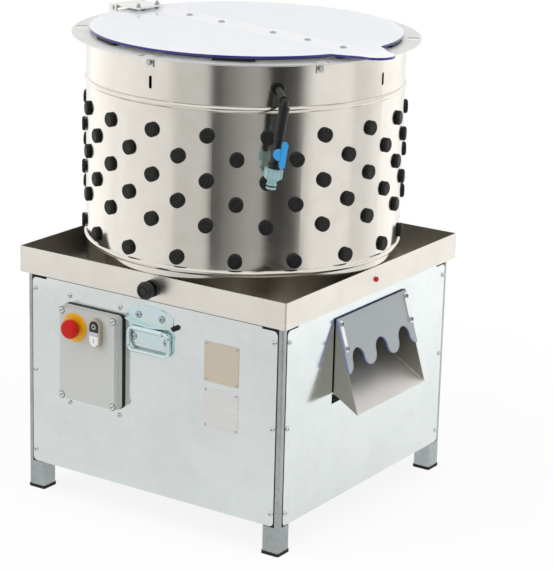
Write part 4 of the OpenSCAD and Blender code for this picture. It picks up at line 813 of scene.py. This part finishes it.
def seat(at_mm: Sequence[float], out: Sequence[float], turn_deg: float = 0.0) -> Matrix:
    """Gives the place of a shape drawn in millimetres with +Z outward.

    Args:
        at_mm: Point of the row frame that carries the shape.
        out: Outward direction.
        turn_deg: Turn about that direction.

    Returns:
        Matrix from the shape's millimetres to the row frame's metres.
    """
    facing = Vector(out).to_track_quat("Z", "Y").to_matrix().to_4x4()
    turn = Matrix.Rotation(math.radians(turn_deg), 4, "Z")
    return Matrix.Translation(Vector(at_mm) * MM) @ facing @ turn @ Matrix.Scale(MM, 4)


def loft(form: Form, place: Matrix, rings: Sequence[Sequence[Vector]], closed: bool = False) -> None:
    """Skins a stack of outlines that have the same number of points.

    Args:
        form: Mesh that gets the skin.
        place: Place of the shape.
        rings: Outlines, each a closed loop of points.
        closed: Whether the last outline joins the first, as in a ring.
    """
    loops = [[form.verts.new(place @ p) for p in ring] for ring in rings]
    pairs = list(zip(loops, loops[1:])) + ([(loops[-1], loops[0])] if closed else [])
    for low, high in pairs:
        for i in range(len(low)):
            k = (i + 1) % len(low)
            form.faces.new((low[i], low[k], high[k], high[i]))
    if not closed:
        form.faces.new(list(reversed(loops[0])))
        form.faces.new(loops[-1])


def outline(points: Iterable[Pair], z: float, scale: float = 1.0) -> list[Vector]:
    """Lifts a flat outline to a height, with a scale about the origin."""
    return [Vector((x * scale, y * scale, z)) for x, y in points]


def polygon(radius: float, sides: int) -> list[Pair]:
    """Gives a regular outline about the origin."""
    turns = [2 * math.pi * k / sides for k in range(sides)]
    return [(radius * math.cos(t), radius * math.sin(t)) for t in turns]


def rounded(width: float, height: float, radius: float, steps: int = 5) -> list[Pair]:
    """Gives a rectangle with rounded corners about the origin.

    Args:
        width: Full width.
        height: Full height.
        radius: Corner radius.
        steps: Points on each corner.

    Returns:
        The outline, anticlockwise.
    """
    points = []
    for k, (sx, sy) in enumerate(((1, 1), (-1, 1), (-1, -1), (1, -1))):
        cx, cy = sx * (width / 2 - radius), sy * (height / 2 - radius)
        for i in range(steps):
            a = (k + i / (steps - 1)) * math.pi / 2
            points.append((cx + radius * math.cos(a), cy + radius * math.sin(a)))
    return points


def draw_inlay(form: Form, place: Matrix, points: Sequence[Pair], steps: Steps) -> None:
    """Draws a thin raised or sunk shape from one flat outline."""
    loft(form, place, [outline(points, z, scale) for z, scale in steps])


def draw_ring(form: Form, place: Matrix, inner: float, outer: float, low: float, high: float) -> None:
    """Draws a flat ring with softened upper edges.

    Args:
        form: Mesh that gets the ring.
        place: Place of the ring.
        inner: Inner radius.
        outer: Outer radius.
        low: Height of its underside.
        high: Height of its top.
    """
    soft = RING_SOFT * (outer - inner)
    profile = (
        (inner, low), (outer, low), (outer, high - soft),
        (outer - soft, high), (inner + soft, high), (inner, high - soft),
    )
    loft(form, place, [outline(polygon(r, RING_SIDES), z) for r, z in profile], closed=True)


def draw_cross(form: Form, place: Matrix, reach: float, width: float, top: float) -> None:
    """Draws the cross slot of a screw head as a tapered inlay, which carries its painted shade.

    Args:
        form: Mesh that gets the cross.
        place: Place of the screw head's seat, +Z outward.
        reach: Half length of an arm.
        width: Half width of an arm.
        top: Height of the head above its seat.
    """
    arms = []
    for k in range(4):
        c, s = math.cos(k * math.pi / 2), math.sin(k * math.pi / 2)
        corners = ((reach, -width), (reach, width), (width, width))
        arms += [(x * c - y * s, x * s + y * c) for x, y in corners]
    draw_inlay(form, place, arms, tuple((top + rise, scale) for rise, scale in CROSS_STEPS))


@dataclass(frozen=True)
class FingerRibs:
    """Moulded ribs round a tapered rubber finger; heights run from the wall that holds it."""

    start: float = 14.0
    step: float = 7.0
    count: int = 11
    # Radius and height of the finger at its root and at its tip.
    root: Pair = (11.7, 8.0)
    tip: Pair = (7.5, 89.0)
    proud: float = 0.9
    sink: float = 0.3
    half: float = 1.7
    # Flat crest of a rib as a share of its width.
    crest: float = 0.4
    sides: int = 16

    def draw(self, form: Form, place: Matrix) -> None:
        """Draws the ribs of one finger.

        Args:
            form: Mesh that gets the ribs.
            place: Place of the finger's root, +Z to its tip.
        """
        (root_r, root_z), (tip_r, tip_z) = self.root, self.tip
        for k in range(self.count):
            z = self.start + k * self.step
            r = root_r + (tip_r - root_r) * (z - root_z) / (tip_z - root_z)
            high, low = r + self.proud, r - self.sink
            profile = ((low, -1.0), (high, -self.crest), (high, self.crest), (low, 1.0))
            rings = [outline(polygon(radius, self.sides), z + self.half * share) for radius, share in profile]
            loft(form, place, rings, closed=True)


class Part(Protocol):
    """What every sub-assembly can do."""

    def dress(self) -> None:
        """Gives its CAD nodes their finishes."""

    def build(self) -> None:
        """Makes its small pieces."""


@dataclass
class Stand:
    """Square tube stand with its cladding, screws and foot caps."""

    leg_c: float = 299.5
    face: float = 320.5
    rows: tuple[float, ...] = (88.5, 266.5, 444.5)
    box_fix_x: tuple[float, ...] = (-207.7, -77.3)
    box_fix_z: tuple[float, ...] = (212.4, 445.6)
    head: float = 3.2
    cross: Pair = (2.2, 0.6)
    # Turn of the first screw, and from each screw to the next.
    first_deg: float = 17.0
    step_deg: float = 47.0

    def dress(self) -> None:
        """Gives the stand its zinc, screws and rubber."""
        dress(LEG_ZINC, "legs")
        dress(RAIL_ZINC, "frame_rails")
        dress(SHEET_ZINC, "front_panel", "right_panel", "rear_panel", "left_panel")
        dress(FIXING_ZINC, "panel_screws")
        dress(SEAL_RUBBER, "foot_caps")

    def build(self) -> None:
        """Draws the cross slots, in painted shade, of the screws that hold the cladding and the enclosure."""
        seats: list[tuple[Vector, Vector]] = []
        for side in range(4):
            a = side * math.pi / 2
            out = Vector((math.sin(a), -math.cos(a), 0.0))
            along = Vector((math.cos(a), math.sin(a), 0.0))
            for s in (-1, 1):
                row = along * (s * self.leg_c) + out * self.face
                seats += [(row + Vector((0, 0, z)), out) for z in self.rows]
        ahead = Vector((0, -1, 0))
        seats += [(Vector((x, -self.face, z)), ahead) for x in self.box_fix_x for z in self.box_fix_z]
        form = bmesh.new()
        for k, (at, out) in enumerate(seats):
            draw_cross(form, seat(at, out, self.first_deg + k * self.step_deg), *self.cross, self.head)
        add_piece("cladding_screw_slots", form, RECESS_SHADE, "stand")


@dataclass
class SplashTray:
    """Welded tray with its drain and indicator lamp."""

    half: float = 331.5
    corner: float = 4.0
    low: float = 479.0
    high: float = 532.0
    # Height of the first ripple above the low end, and of each ripple.
    first: float = 0.8
    ripple: float = 1.5
    # Half sizes of a ripple: outward, across and up.
    bead: Point = (0.4, 1.3, 1.3)
    # Swing and rate of the hand's two tremors, and how much of them shows outward.
    tremors: Steps = ((0.12, 2.3), (0.08, 0.9))
    tremor_out: float = 0.3

    def dress(self) -> None:
        """Gives the tray its steel and its fittings their plastics."""
        dress(TRAY_STEEL, "tray")
        dress(BLACK_PLASTIC, "drain_fitting", "drain_cap")
        dress(RED_PLASTIC, "indicator_lamp")

    def build(self) -> None:
        """Lays a rippled weld bead up each corner."""
        form = bmesh.new()
        reach = self.half - self.corner + self.corner * math.sqrt(0.5)
        count = int((self.high - self.low) / self.ripple)
        deep, wide, tall = self.bead
        for sx in (-1, 1):
            for sy in (-1, 1):
                turn = Matrix.Rotation(math.atan2(sy, sx), 4, "Z")
                for k in range(count):
                    pairs = zip(self.tremors, (sx, sy))
                    shake = sum(swing * math.sin(rate * k + start) for (swing, rate), start in pairs)
                    at = Vector((sx * reach, sy * reach, self.low + self.first + k * self.ripple)) * MM
                    shape = Matrix.Diagonal((deep + self.tremor_out * shake, wide + shake, tall, 1.0))
                    place = Matrix.Translation(at) @ turn @ Matrix.Scale(MM, 4) @ shape
                    bmesh.ops.create_uvsphere(form, u_segments=10, v_segments=6, radius=1.0, matrix=place)
        add_piece("tray_corner_welds", form, CORNER_WELD, "stand")


@dataclass
class PluckingDrum:
    """Drum wall, its fingers and the flange ring with its bolts."""

    rows: tuple[float, ...] = (577.0, 647.0, 692.0, 737.0, 782.0, 827.0)
    fingers: int = 17
    pitch_deg: float = 20.6
    middle_deg: float = -58.1
    head_face: float = 337.5
    wall_in: float = 327.5
    # Line of painted highlight across a head: length, width and corner, then height and scale at each step.
    head_line: Point = (22.0, 1.1, 0.4)
    head_line_steps: Steps = ((-0.1, 1.0), (0.06, 1.0), (0.09, 0.9))
    # Middle and swing of the heads' turns, and their rates along and across the rows.
    turn_deg: Pair = (40.0, 37.0)
    turn_rate: Pair = (3.1, 1.7)
    ribs: FingerRibs = FingerRibs()

    def dress(self) -> None:
        """Gives the drum its steel and the fingers their rubber."""
        dress(DRUM_STEEL, "drum_shell")
        dress(RING_STEEL, "flange_ring")
        dress(FINGER_RUBBER, *(f"drum_fingers_{k + 1}" for k in range(len(self.rows))))
        dress(BOLT_ZINC, "flange_bolts")

    def build(self) -> None:
        """Draws each finger's ribs, and the grey line of painted highlight across its head, turned as it was
        pushed in.
        """
        head_lines, ribs = bmesh.new(), bmesh.new()
        bar = rounded(*self.head_line, 3)
        middle = (self.fingers - 1) / 2
        for k, z in enumerate(self.rows):
            for i in range(self.fingers):
                a = math.radians(self.middle_deg + (i - middle + 0.5 * (k % 2)) * self.pitch_deg)
                out = (math.cos(a), math.sin(a), 0.0)
                phase = self.turn_rate[0] * i + self.turn_rate[1] * k
                turn = self.turn_deg[0] + self.turn_deg[1] * math.sin(phase)
                place = seat((self.head_face * out[0], self.head_face * out[1], z), out, turn)
                draw_inlay(head_lines, place, bar, self.head_line_steps)
                root = (self.wall_in * out[0], self.wall_in * out[1], z)
                self.ribs.draw(ribs, seat(root, (-out[0], -out[1], 0.0)))
        add_piece("finger_head_line_highlights", head_lines, HEAD_LINE_HIGHLIGHT, "stand")
        add_piece("drum_finger_ribs", ribs, FINGER_RUBBER, "stand")


@dataclass
class ClearLid:
    """Clear lid with its bar, pads, screws and hinge."""

    bar_deg: float = -13.0
    screws: tuple[float, ...] = (280.0, 179.0, 78.0, -78.0, -179.0)
    top: float = 985.0
    head: float = 2.6
    cross: Pair = (2.7, 0.7)
    step_deg: float = 31.0

    def dress(self) -> None:
        """Gives the lid its sheet, pads and metal."""
        dress(LID_SHEET, "lid_sheet")
        dress(BAR_SHEET, "lid_strip")
        dress(SEAL_RUBBER, "lid_pads")
        dress(BOLT_ZINC, "lid_screws")
        dress(STRIP_STEEL, "hinge_leaf", "hinge_bracket")

    def build(self) -> None:
        """Draws the cross slots of the lid screws, in painted shade."""
        form = bmesh.new()
        a = math.radians(self.bar_deg)
        for k, run in enumerate(self.screws):
            at = (run * math.cos(a), run * math.sin(a), self.top)
            draw_cross(form, seat(at, (0, 0, 1), self.step_deg * k), *self.cross, self.head)
        add_piece("lid_screw_slots", form, RECESS_SHADE, "lid")


@dataclass
class WaterTap:
    """Hanging pipe with its tap, lever and hose connector."""

    def dress(self) -> None:
        """Gives the tap its plastics."""
        dress(BLACK_PLASTIC, "water_pipe", "tap_body")
        dress(BLUE_NYLON, "tap_lever")
        dress(TEAL_PLASTIC, "hose_connector")
        dress(SEAL_RUBBER, "connector_ring")

    def build(self) -> None:
        """Needs no small pieces."""


@dataclass
class FeatherChute:
    """Outlet chute with its clear scalloped guard."""

    # Upper edge of the hood's sloped face, and that face's directions.
    hood: Point = (321.5, 0.0, 451.0)
    down: Point = (0.2951, 0.0, -0.9555)
    out: Point = (0.9555, 0.0, 0.2951)
    bolt_y: float = 126.0
    bolt_runs: tuple[float, ...] = (13.0, 63.0)
    bolt_seat: float = 6.0
    # Hexagon socket of a bolt: radius, height and scale at each step, turn on either side.
    socket_r: float = 3.2
    socket_steps: Steps = ((2.0, 0.8), (4.03, 1.0))
    socket_deg: Pair = (20.0, 35.0)
    wall_y: float = 132.6
    lip: Pair = (379.5, 262.4)
    slope: float = 0.6
    # Ground weld: its run, its steps, its radius and how that swings.
    weld_run: float = 240.0
    weld_steps: int = 60
    weld_r: Pair = (0.9, 0.15)
    weld_rate: float = 1.7
    weld_lean: float = 0.3
    weld_sides: int = 8

    def dress(self) -> None:
        """Gives the chute its steel and the guard its sheet."""
        dress(CHUTE_STEEL, "chute")
        dress(STRIP_STEEL, "guard_clamps")
        dress(GUARD_SHEET, "chute_guard")
        dress(BOLT_ZINC, "guard_bolts")

    def build(self) -> None:
        """Darkens the bolts' sockets with painted shade, and lays pale welds with a painted highlight along
        the chute's inner corners.
        """
        self.shade_sockets()
        self.lay_weld_highlights()

    def shade_sockets(self) -> None:
        """Darkens the hexagon sockets of the guard's bolts with painted shade."""
        form = bmesh.new()
        hexagon = polygon(self.socket_r, 6)
        for s in (-1, 1):
            turn = self.socket_deg[0] + self.socket_deg[1] * s
            for run in self.bolt_runs:
                at = Vector(self.hood) + Vector(self.down) * run + Vector(self.out) * self.bolt_seat
                at.y = s * self.bolt_y
                draw_inlay(form, seat(at, self.out, turn), hexagon, self.socket_steps)
        add_piece("guard_bolt_sockets", form, RECESS_SHADE, "stand")

    def lay_weld_highlights(self) -> None:
        """Lays a ground weld along each inner corner of the chute's floor, pale with painted highlight."""
        form = bmesh.new()
        section = polygon(1.0, self.weld_sides)
        for s in (-1, 1):
            rings = []
            for k in range(self.weld_steps + 1):
                x = self.lip[0] - self.weld_run * k / self.weld_steps
                z = self.lip[1] + self.slope * (self.lip[0] - x)
                size = self.weld_r[0] + self.weld_r[1] * math.sin(self.weld_rate * k)
                middle = Vector((x, s * self.wall_y, z))
                rings.append([middle + Vector((self.weld_lean * b, a, b)) * size for a, b in section])
            loft(form, Matrix.Scale(MM, 4), rings)
        add_piece("chute_weld_highlights", form, CHUTE_WELD_HIGHLIGHT, "stand")


@dataclass
class ControlBox:
    """Enclosure with the emergency stop and the twin button."""

    centre: Pair = (-142.5, 329.0)
    corners: Pair = (66.0, 91.5)
    lid_face: float = 346.5
    # Shadow gap round a lid screw: inner radius, width, lower and upper height.
    screw_r: float = 6.5
    gap: float = 1.4
    gap_z: Pair = (-0.4, 0.08)
    # Slots, lens and strokes: width, height and corner, then height and scale at each step.
    slot: Point = (10.0, 1.3, 0.3)
    slot_steps: Steps = ((1.45, 1.0), (1.9, 1.0), (1.95, 0.95))
    slot_deg: float = 35.0
    twin: Pair = (-115.0, 390.0)
    front: float = 358.5
    proud: float = 1.5
    button_step: float = 15.0
    lens: Point = (21.0, 7.4, 0.8)
    lens_steps: Steps = ((-0.1, 1.0), (1.1, 1.0), (1.5, 0.96))
    # Off sign: inner and outer radius, lower and upper height.
    off_sign: tuple[float, float, float, float] = (3.45, 4.95, -0.35, -0.05)
    on_sign: Point = (1.7, 8.8, 0.3)
    on_steps: Steps = ((-0.35, 1.0), (-0.08, 1.0), (-0.04, 0.94))
    outward: Point = (0.0, -1.0, 0.0)

    def dress(self) -> None:
        """Gives the enclosure and its controls their plastics."""
        dress(GREY_ABS, "control_base", "control_lid")
        dress(SEAL_RUBBER, "control_seal")
        dress(SCREW_NYLON, "control_screws")
        dress(YELLOW_PLASTIC, "estop_disc")
        dress(BLACK_PLASTIC, "estop_stem")
        dress(RED_PLASTIC, "estop_head")
        dress(BEZEL_METAL, "button_bezel")
        dress(BUTTON_BLACK, "stop_button")
        dress(BUTTON_WHITE, "start_button")

    def build(self) -> None:
        """Makes the screws' shadow gaps, the lens between the buttons and their off and on signs."""
        self.shade_screws()
        self.mark_buttons()

    def shade_screws(self) -> None:
        """Draws the shadow gap round each screw of the lid, and its slot, both in painted shade."""
        form = bmesh.new()
        slot = rounded(*self.slot, 3)
        (x, z), (dx, dz) = self.centre, self.corners
        for sx in (-1, 1):
            for sz in (-1, 1):
                at = (x + sx * dx, -self.lid_face, z + sz * dz)
                draw_ring(form, seat(at, self.outward), self.screw_r, self.screw_r + self.gap, *self.gap_z)
                draw_inlay(form, seat(at, self.outward, self.slot_deg), slot, self.slot_steps)
        add_piece("control_screw_gaps", form, RECESS_SHADE, "stand")

    def mark_buttons(self) -> None:
        """Sets the lens between the buttons and prints their signs."""
        x, z = self.twin
        face = -self.front - self.proud
        lens = bmesh.new()
        draw_inlay(lens, seat((x, -self.front, z), self.outward), rounded(*self.lens), self.lens_steps)
        add_piece("pilot_lens", lens, LENS_LILAC, "stand")
        ring = bmesh.new()
        draw_ring(ring, seat((x, face, z + self.button_step), self.outward), *self.off_sign)
        add_piece("off_sign", ring, INK_WHITE, "stop_key")
        bar = bmesh.new()
        place = seat((x, face, z - self.button_step), self.outward)
        draw_inlay(bar, place, rounded(*self.on_sign, 3), self.on_steps)
        add_piece("on_sign", bar, INK_GREY, "start_key")


@dataclass
class FrontFittings:
    """Carrying handle and the two blank plates."""

    face: float = 322.0
    head: float = 3.4
    cross: Pair = (2.9, 0.75)
    step_deg: float = 23.0
    screws: Steps = ((-29.0, 440.0), (29.0, 440.0), (-41.0, 392.0), (41.0, 392.0))

    def dress(self) -> None:
        """Gives the handle its zinc and the plates their anodising."""
        dress(HANDLE_ZINC, "grab_plate", "grab_bail")
        dress(SEAL_RUBBER, "grab_buffer")
        dress(BOLT_ZINC, "front_rivets")
        dress(RATING_PLATE, "rating_plates")

    def build(self) -> None:
        """Draws the cross slots of the handle screws, in painted shade."""
        form = bmesh.new()
        for k, (x, z) in enumerate(self.screws):
            place = seat((x, -self.face, z), (0, -1, 0), self.step_deg * k)
            draw_cross(form, place, *self.cross, self.head)
        add_piece("handle_screw_slots", form, RECESS_SHADE, "stand")


@dataclass
class Drive:
    """Spinning plate, shaft, pulleys, belt and motor."""

    plate_top: float = 520.0
    first_ring: int = 4
    rings: tuple[float, ...] = (80.0, 140.0, 200.0)
    ribs: FingerRibs = FingerRibs()

    def dress(self) -> None:
        """Gives the drive its metals, rubber and enamel."""
        dress(PLATE_STEEL, "feather_plate")
        dress(FINGER_RUBBER, "plate_fingers")
        dress(SHAFT_STEEL, "main_shaft")
        dress(IRON_PAINT, "bearing_housing", "driven_pulley", "motor_pulley", "motor_plate")
        dress(MOTOR_PAINT, "motor_body")
        dress(SEAL_RUBBER, "v_belt")

    def build(self) -> None:
        """Draws the ribs of the plate's fingers."""
        form = bmesh.new()
        for j, radius in enumerate(self.rings):
            count = self.first_ring * (j + 1)
            for i in range(count):
                a = (i + 0.5 * j) * 2 * math.pi / count
                root = (radius * math.cos(a), radius * math.sin(a), self.plate_top)
                self.ribs.draw(form, seat(root, (0, 0, 1)))
        add_piece("plate_finger_ribs", form, FINGER_RUBBER, "plate_rotor")


@dataclass
class Lamp:
    """A large square soft lamp: place and aim in metres, side in metres, power in watts."""

    at: Point
    aim: Point
    side: float
    power: float

    def hang(self, name: str) -> None:
        """Adds the lamp to the scene, out of sight of camera and mirrors.

        Args:
            name: Name of the lamp.
        """
        lamp = bpy.data.lights.new(name, "AREA")
        lamp.shape = "SQUARE"
        lamp.size = self.side
        lamp.energy = self.power
        holder = bpy.data.objects.new(name, lamp)
        holder.location = self.at
        holder.rotation_mode = "QUATERNION"
        holder.rotation_quaternion = (Vector(self.aim) - Vector(self.at)).to_track_quat("-Z", "Y")
        holder.visible_camera = False
        holder.visible_glossy = False
        bpy.context.scene.collection.objects.link(holder)


@dataclass
class Studio:
    """Pale floor, soft light all round and the camera at the photograph's angle."""

    camera_mm: Point = (2529.647, -3707.941, 1766.745)
    ahead: Point = (-0.527004, 0.800763, -0.284685)
    roll_deg: float = 1.51
    focal_px: float = 2202.22
    frame_px: float = 570.0
    sensor_mm: float = 36.0
    camera_deg: float = -56.65
    # Floor: radius in metres, paint, and the share that glows white from the middle out.
    floor_r: float = 1.98
    floor_hex: str = "fafaf9"
    floor_glow: Pair = (0.88, 1.0)
    floor_glow_r: Pair = (0.35, 0.75)
    # Brightness of the floor in mirrors, from its near side to its far side, in metres along a direction.
    floor_mirror: Pair = (0.78, 1.16)
    floor_run: Pair = (-0.6, 1.8)
    floor_way: Point = (0.55, 0.83, 0.0)
    # Brightness of the room round the object, by degrees to the right of the camera.
    walls: Steps = (
        (-180, 0.95), (-160, 1.0), (-142, 1.3), (-128, 1.3), (-108, 1.12), (-80, 1.0), (-57, 0.92),
        (-47, 0.68), (-26, 0.7), (-21, 0.1), (-17, 0.12), (-13, 0.21), (-4, 0.32), (8, 0.43), (14, 0.38),
        (18, 0.1), (20, 0.05), (28, 0.05), (38, 0.12), (41, 0.25), (45, 0.62), (51, 0.98), (82, 0.98),
        (86, 0.83), (98, 0.86), (108, 0.98), (120, 1.25), (142, 1.3), (160, 1.0), (180, 0.95),
    )
    # Brightness of the ceiling, the rise over which the walls run into it, and the light on matt surfaces.
    ceiling: Colour = (0.97, 0.97, 0.97, 1.0)
    ceiling_rise: Pair = (0.1, 0.3)
    fill: Colour = (0.55, 0.55, 0.56, 1.0)
    lamps: tuple[Lamp, ...] = (
        Lamp((-2.6, -2.4, 2.2), (0.0, 0.0, 0.5), 2.6, 46.0),
        Lamp((2.8, -0.2, 2.4), (0.2, 0.0, 0.5), 2.4, 26.0),
        Lamp((0.4, -0.4, 3.6), (0.0, 0.0, 0.6), 2.8, 40.0),
    )

    def build(self) -> None:
        """Sets floor, walls, lamps and camera."""
        bpy.context.scene.view_settings.view_transform = "Standard"
        self.lay_floor()
        self.paint_walls()
        for k, lamp in enumerate(self.lamps):
            lamp.hang(f"soft_lamp_{k}")
        self.place_camera()

    def lay_floor(self) -> None:
        """Lays a plain pale floor that keeps the object's shadow and runs out into the white room."""
        form = bmesh.new()
        bmesh.ops.create_circle(form, cap_ends=True, radius=self.floor_r, segments=96)
        mesh = bpy.data.meshes.new("floor")
        form.to_mesh(mesh)
        form.free()
        mesh.materials.append(self.floor_paint())
        floor = bpy.data.objects.new("floor", mesh)
        bpy.context.scene.collection.objects.link(floor)

    def floor_paint(self) -> bpy.types.Material:
        """Mixes matt white paint, which takes the shadow, with the white of the room.

        Returns:
            The floor's material.
        """
        material = bpy.data.materials.new("studio_floor_white_paint")
        material.use_nodes = True
        tree = material.node_tree
        tree.nodes.clear()
        point = add_node(tree, "ShaderNodeTexCoord").outputs["Object"]
        away = add_node(tree, "ShaderNodeVectorMath", {0: point}, operation="LENGTH").outputs[1]
        near, far = (share * self.floor_r for share in self.floor_glow_r)
        ends = {1: near, 2: far, 3: self.floor_glow[0], 4: self.floor_glow[1]}
        share = add_node(
            tree, "ShaderNodeMapRange", {0: away}, ends, interpolation_type="SMOOTHSTEP"
        ).outputs[0]
        path = add_node(tree, "ShaderNodeLightPath").outputs
        seen = add_node(
            tree, "ShaderNodeMath", {0: path["Is Camera Ray"], 1: path["Is Glossy Ray"]}, operation="MAXIMUM"
        ).outputs[0]
        shown = add_node(
            tree, "ShaderNodeMath", {0: seen, 1: path["Is Transmission Ray"]}, operation="MAXIMUM"
        ).outputs[0]
        part = add_node(tree, "ShaderNodeMath", {0: share, 1: shown}, operation="MULTIPLY").outputs[0]
        aside = add_node(
            tree, "ShaderNodeVectorMath", {0: point}, {1: self.floor_way}, operation="DOT_PRODUCT"
        ).outputs[1]
        ends = {1: self.floor_run[0], 2: self.floor_run[1], 3: self.floor_mirror[0], 4: self.floor_mirror[1]}
        sheen = add_node(tree, "ShaderNodeMapRange", {0: aside}, ends).outputs[0]
        level = add_node(
            tree, "ShaderNodeMix", {0: path["Is Camera Ray"], 2: sheen}, {3: 1.0}, data_type="FLOAT"
        ).outputs[0]
        matt = add_node(tree, "ShaderNodeBsdfDiffuse", None, {"Color": linear(self.floor_hex)}).outputs[0]
        glow = add_node(tree, "ShaderNodeEmission", {"Strength": level}, {"Color": WHITE}).outputs[0]
        mixed = add_node(tree, "ShaderNodeMixShader", {0: part, 1: matt, 2: glow}).outputs[0]
        add_node(tree, "ShaderNodeOutputMaterial", {0: mixed})
        return material

    def paint_walls(self) -> None:
        """Makes the room: white to the camera, soft boxes and dark gaps to metal, plain light to the rest."""
        world = bpy.data.worlds.new("studio")
        bpy.context.scene.world = world
        world.use_nodes = True
        world.cycles.sampling_method = "NONE"
        tree = world.node_tree
        tree.nodes.clear()
        way = add_node(tree, "ShaderNodeTexCoord").outputs["Generated"]
        turn = {"Angle": math.radians(-self.camera_deg)}
        turned = add_node(
            tree, "ShaderNodeVectorRotate", {"Vector": way}, turn, rotation_type="Z_AXIS"
        ).outputs[0]
        parts = add_node(tree, "ShaderNodeSeparateXYZ", {0: turned}).outputs
        angle = add_node(tree, "ShaderNodeMath", {0: parts[1], 1: parts[0]}, operation="ARCTAN2").outputs[0]
        place = add_node(tree, "ShaderNodeMapRange", {0: angle}, {1: -math.pi, 2: math.pi}).outputs[0]
        ramp = add_node(tree, "ShaderNodeValToRGB", {0: place})
        stops = ramp.color_ramp.elements
        while len(stops) < len(self.walls):
            stops.new(1.0)
        for stop, (degrees, tone) in zip(stops, self.walls):
            stop.position = (degrees + 180) / 360
            stop.color = (tone, tone, tone, 1.0)
        rise = {1: self.ceiling_rise[0], 2: self.ceiling_rise[1]}
        above = add_node(tree, "ShaderNodeMapRange", {0: parts[2]}, rise).outputs[0]
        room = add_node(
            tree, "ShaderNodeMix", {0: above, 6: ramp.outputs[0]}, {7: self.ceiling}, data_type="RGBA"
        ).outputs[2]
        path = add_node(tree, "ShaderNodeLightPath").outputs
        rays = {0: path["Is Glossy Ray"], 1: path["Is Transmission Ray"]}
        mirror = add_node(tree, "ShaderNodeMath", rays, operation="MAXIMUM").outputs[0]
        soft = add_node(
            tree, "ShaderNodeMix", {0: mirror, 7: room}, {6: self.fill}, data_type="RGBA"
        ).outputs[2]
        shown = add_node(
            tree, "ShaderNodeMix", {0: path["Is Camera Ray"], 6: soft}, {7: WHITE}, data_type="RGBA"
        ).outputs[2]
        light = add_node(tree, "ShaderNodeBackground", {0: shown}, {"Strength": 1.0}).outputs[0]
        add_node(tree, "ShaderNodeOutputWorld", {0: light})

    def place_camera(self) -> None:
        """Puts the camera where the photograph was taken from."""
        ahead = Vector(self.ahead).normalized()
        right = ahead.cross(Vector((0, 0, 1))).normalized()
        up = right.cross(ahead)
        r = math.radians(self.roll_deg)
        across = right * math.cos(r) + up * math.sin(r)
        upward = up * math.cos(r) - right * math.sin(r)
        data = bpy.data.cameras.new("camera")
        data.sensor_width = self.sensor_mm
        data.lens = self.focal_px * self.sensor_mm / self.frame_px
        data.clip_start, data.clip_end = 0.05, 100.0
        camera = bpy.data.objects.new("camera", data)
        turn = Matrix((across, upward, -ahead)).transposed().to_4x4()
        camera.matrix_world = Matrix.Translation(Vector(self.camera_mm) * MM) @ turn
        bpy.context.scene.collection.objects.link(camera)
        bpy.context.scene.camera = camera


@dataclass
class Plucker:
    """The whole machine: its sub-assemblies in building order."""

    parts: list[Part] = field(
        default_factory=lambda: [
            Stand(), SplashTray(), PluckingDrum(), ClearLid(), WaterTap(), FeatherChute(), ControlBox(),
            FrontFittings(), Drive(),
        ]
    )

    def build(self) -> None:
        """Dresses every sub-assembly and builds its small pieces."""
        for part in self.parts:
            part.dress()
            part.build()


def main() -> None:
    """Loads the frame, dresses the machine and sets the studio."""
    logging.basicConfig(level=logging.INFO, format="%(message)s")
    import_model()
    Plucker().build()
    Studio().build()


if __name__ == "__main__":
    main()
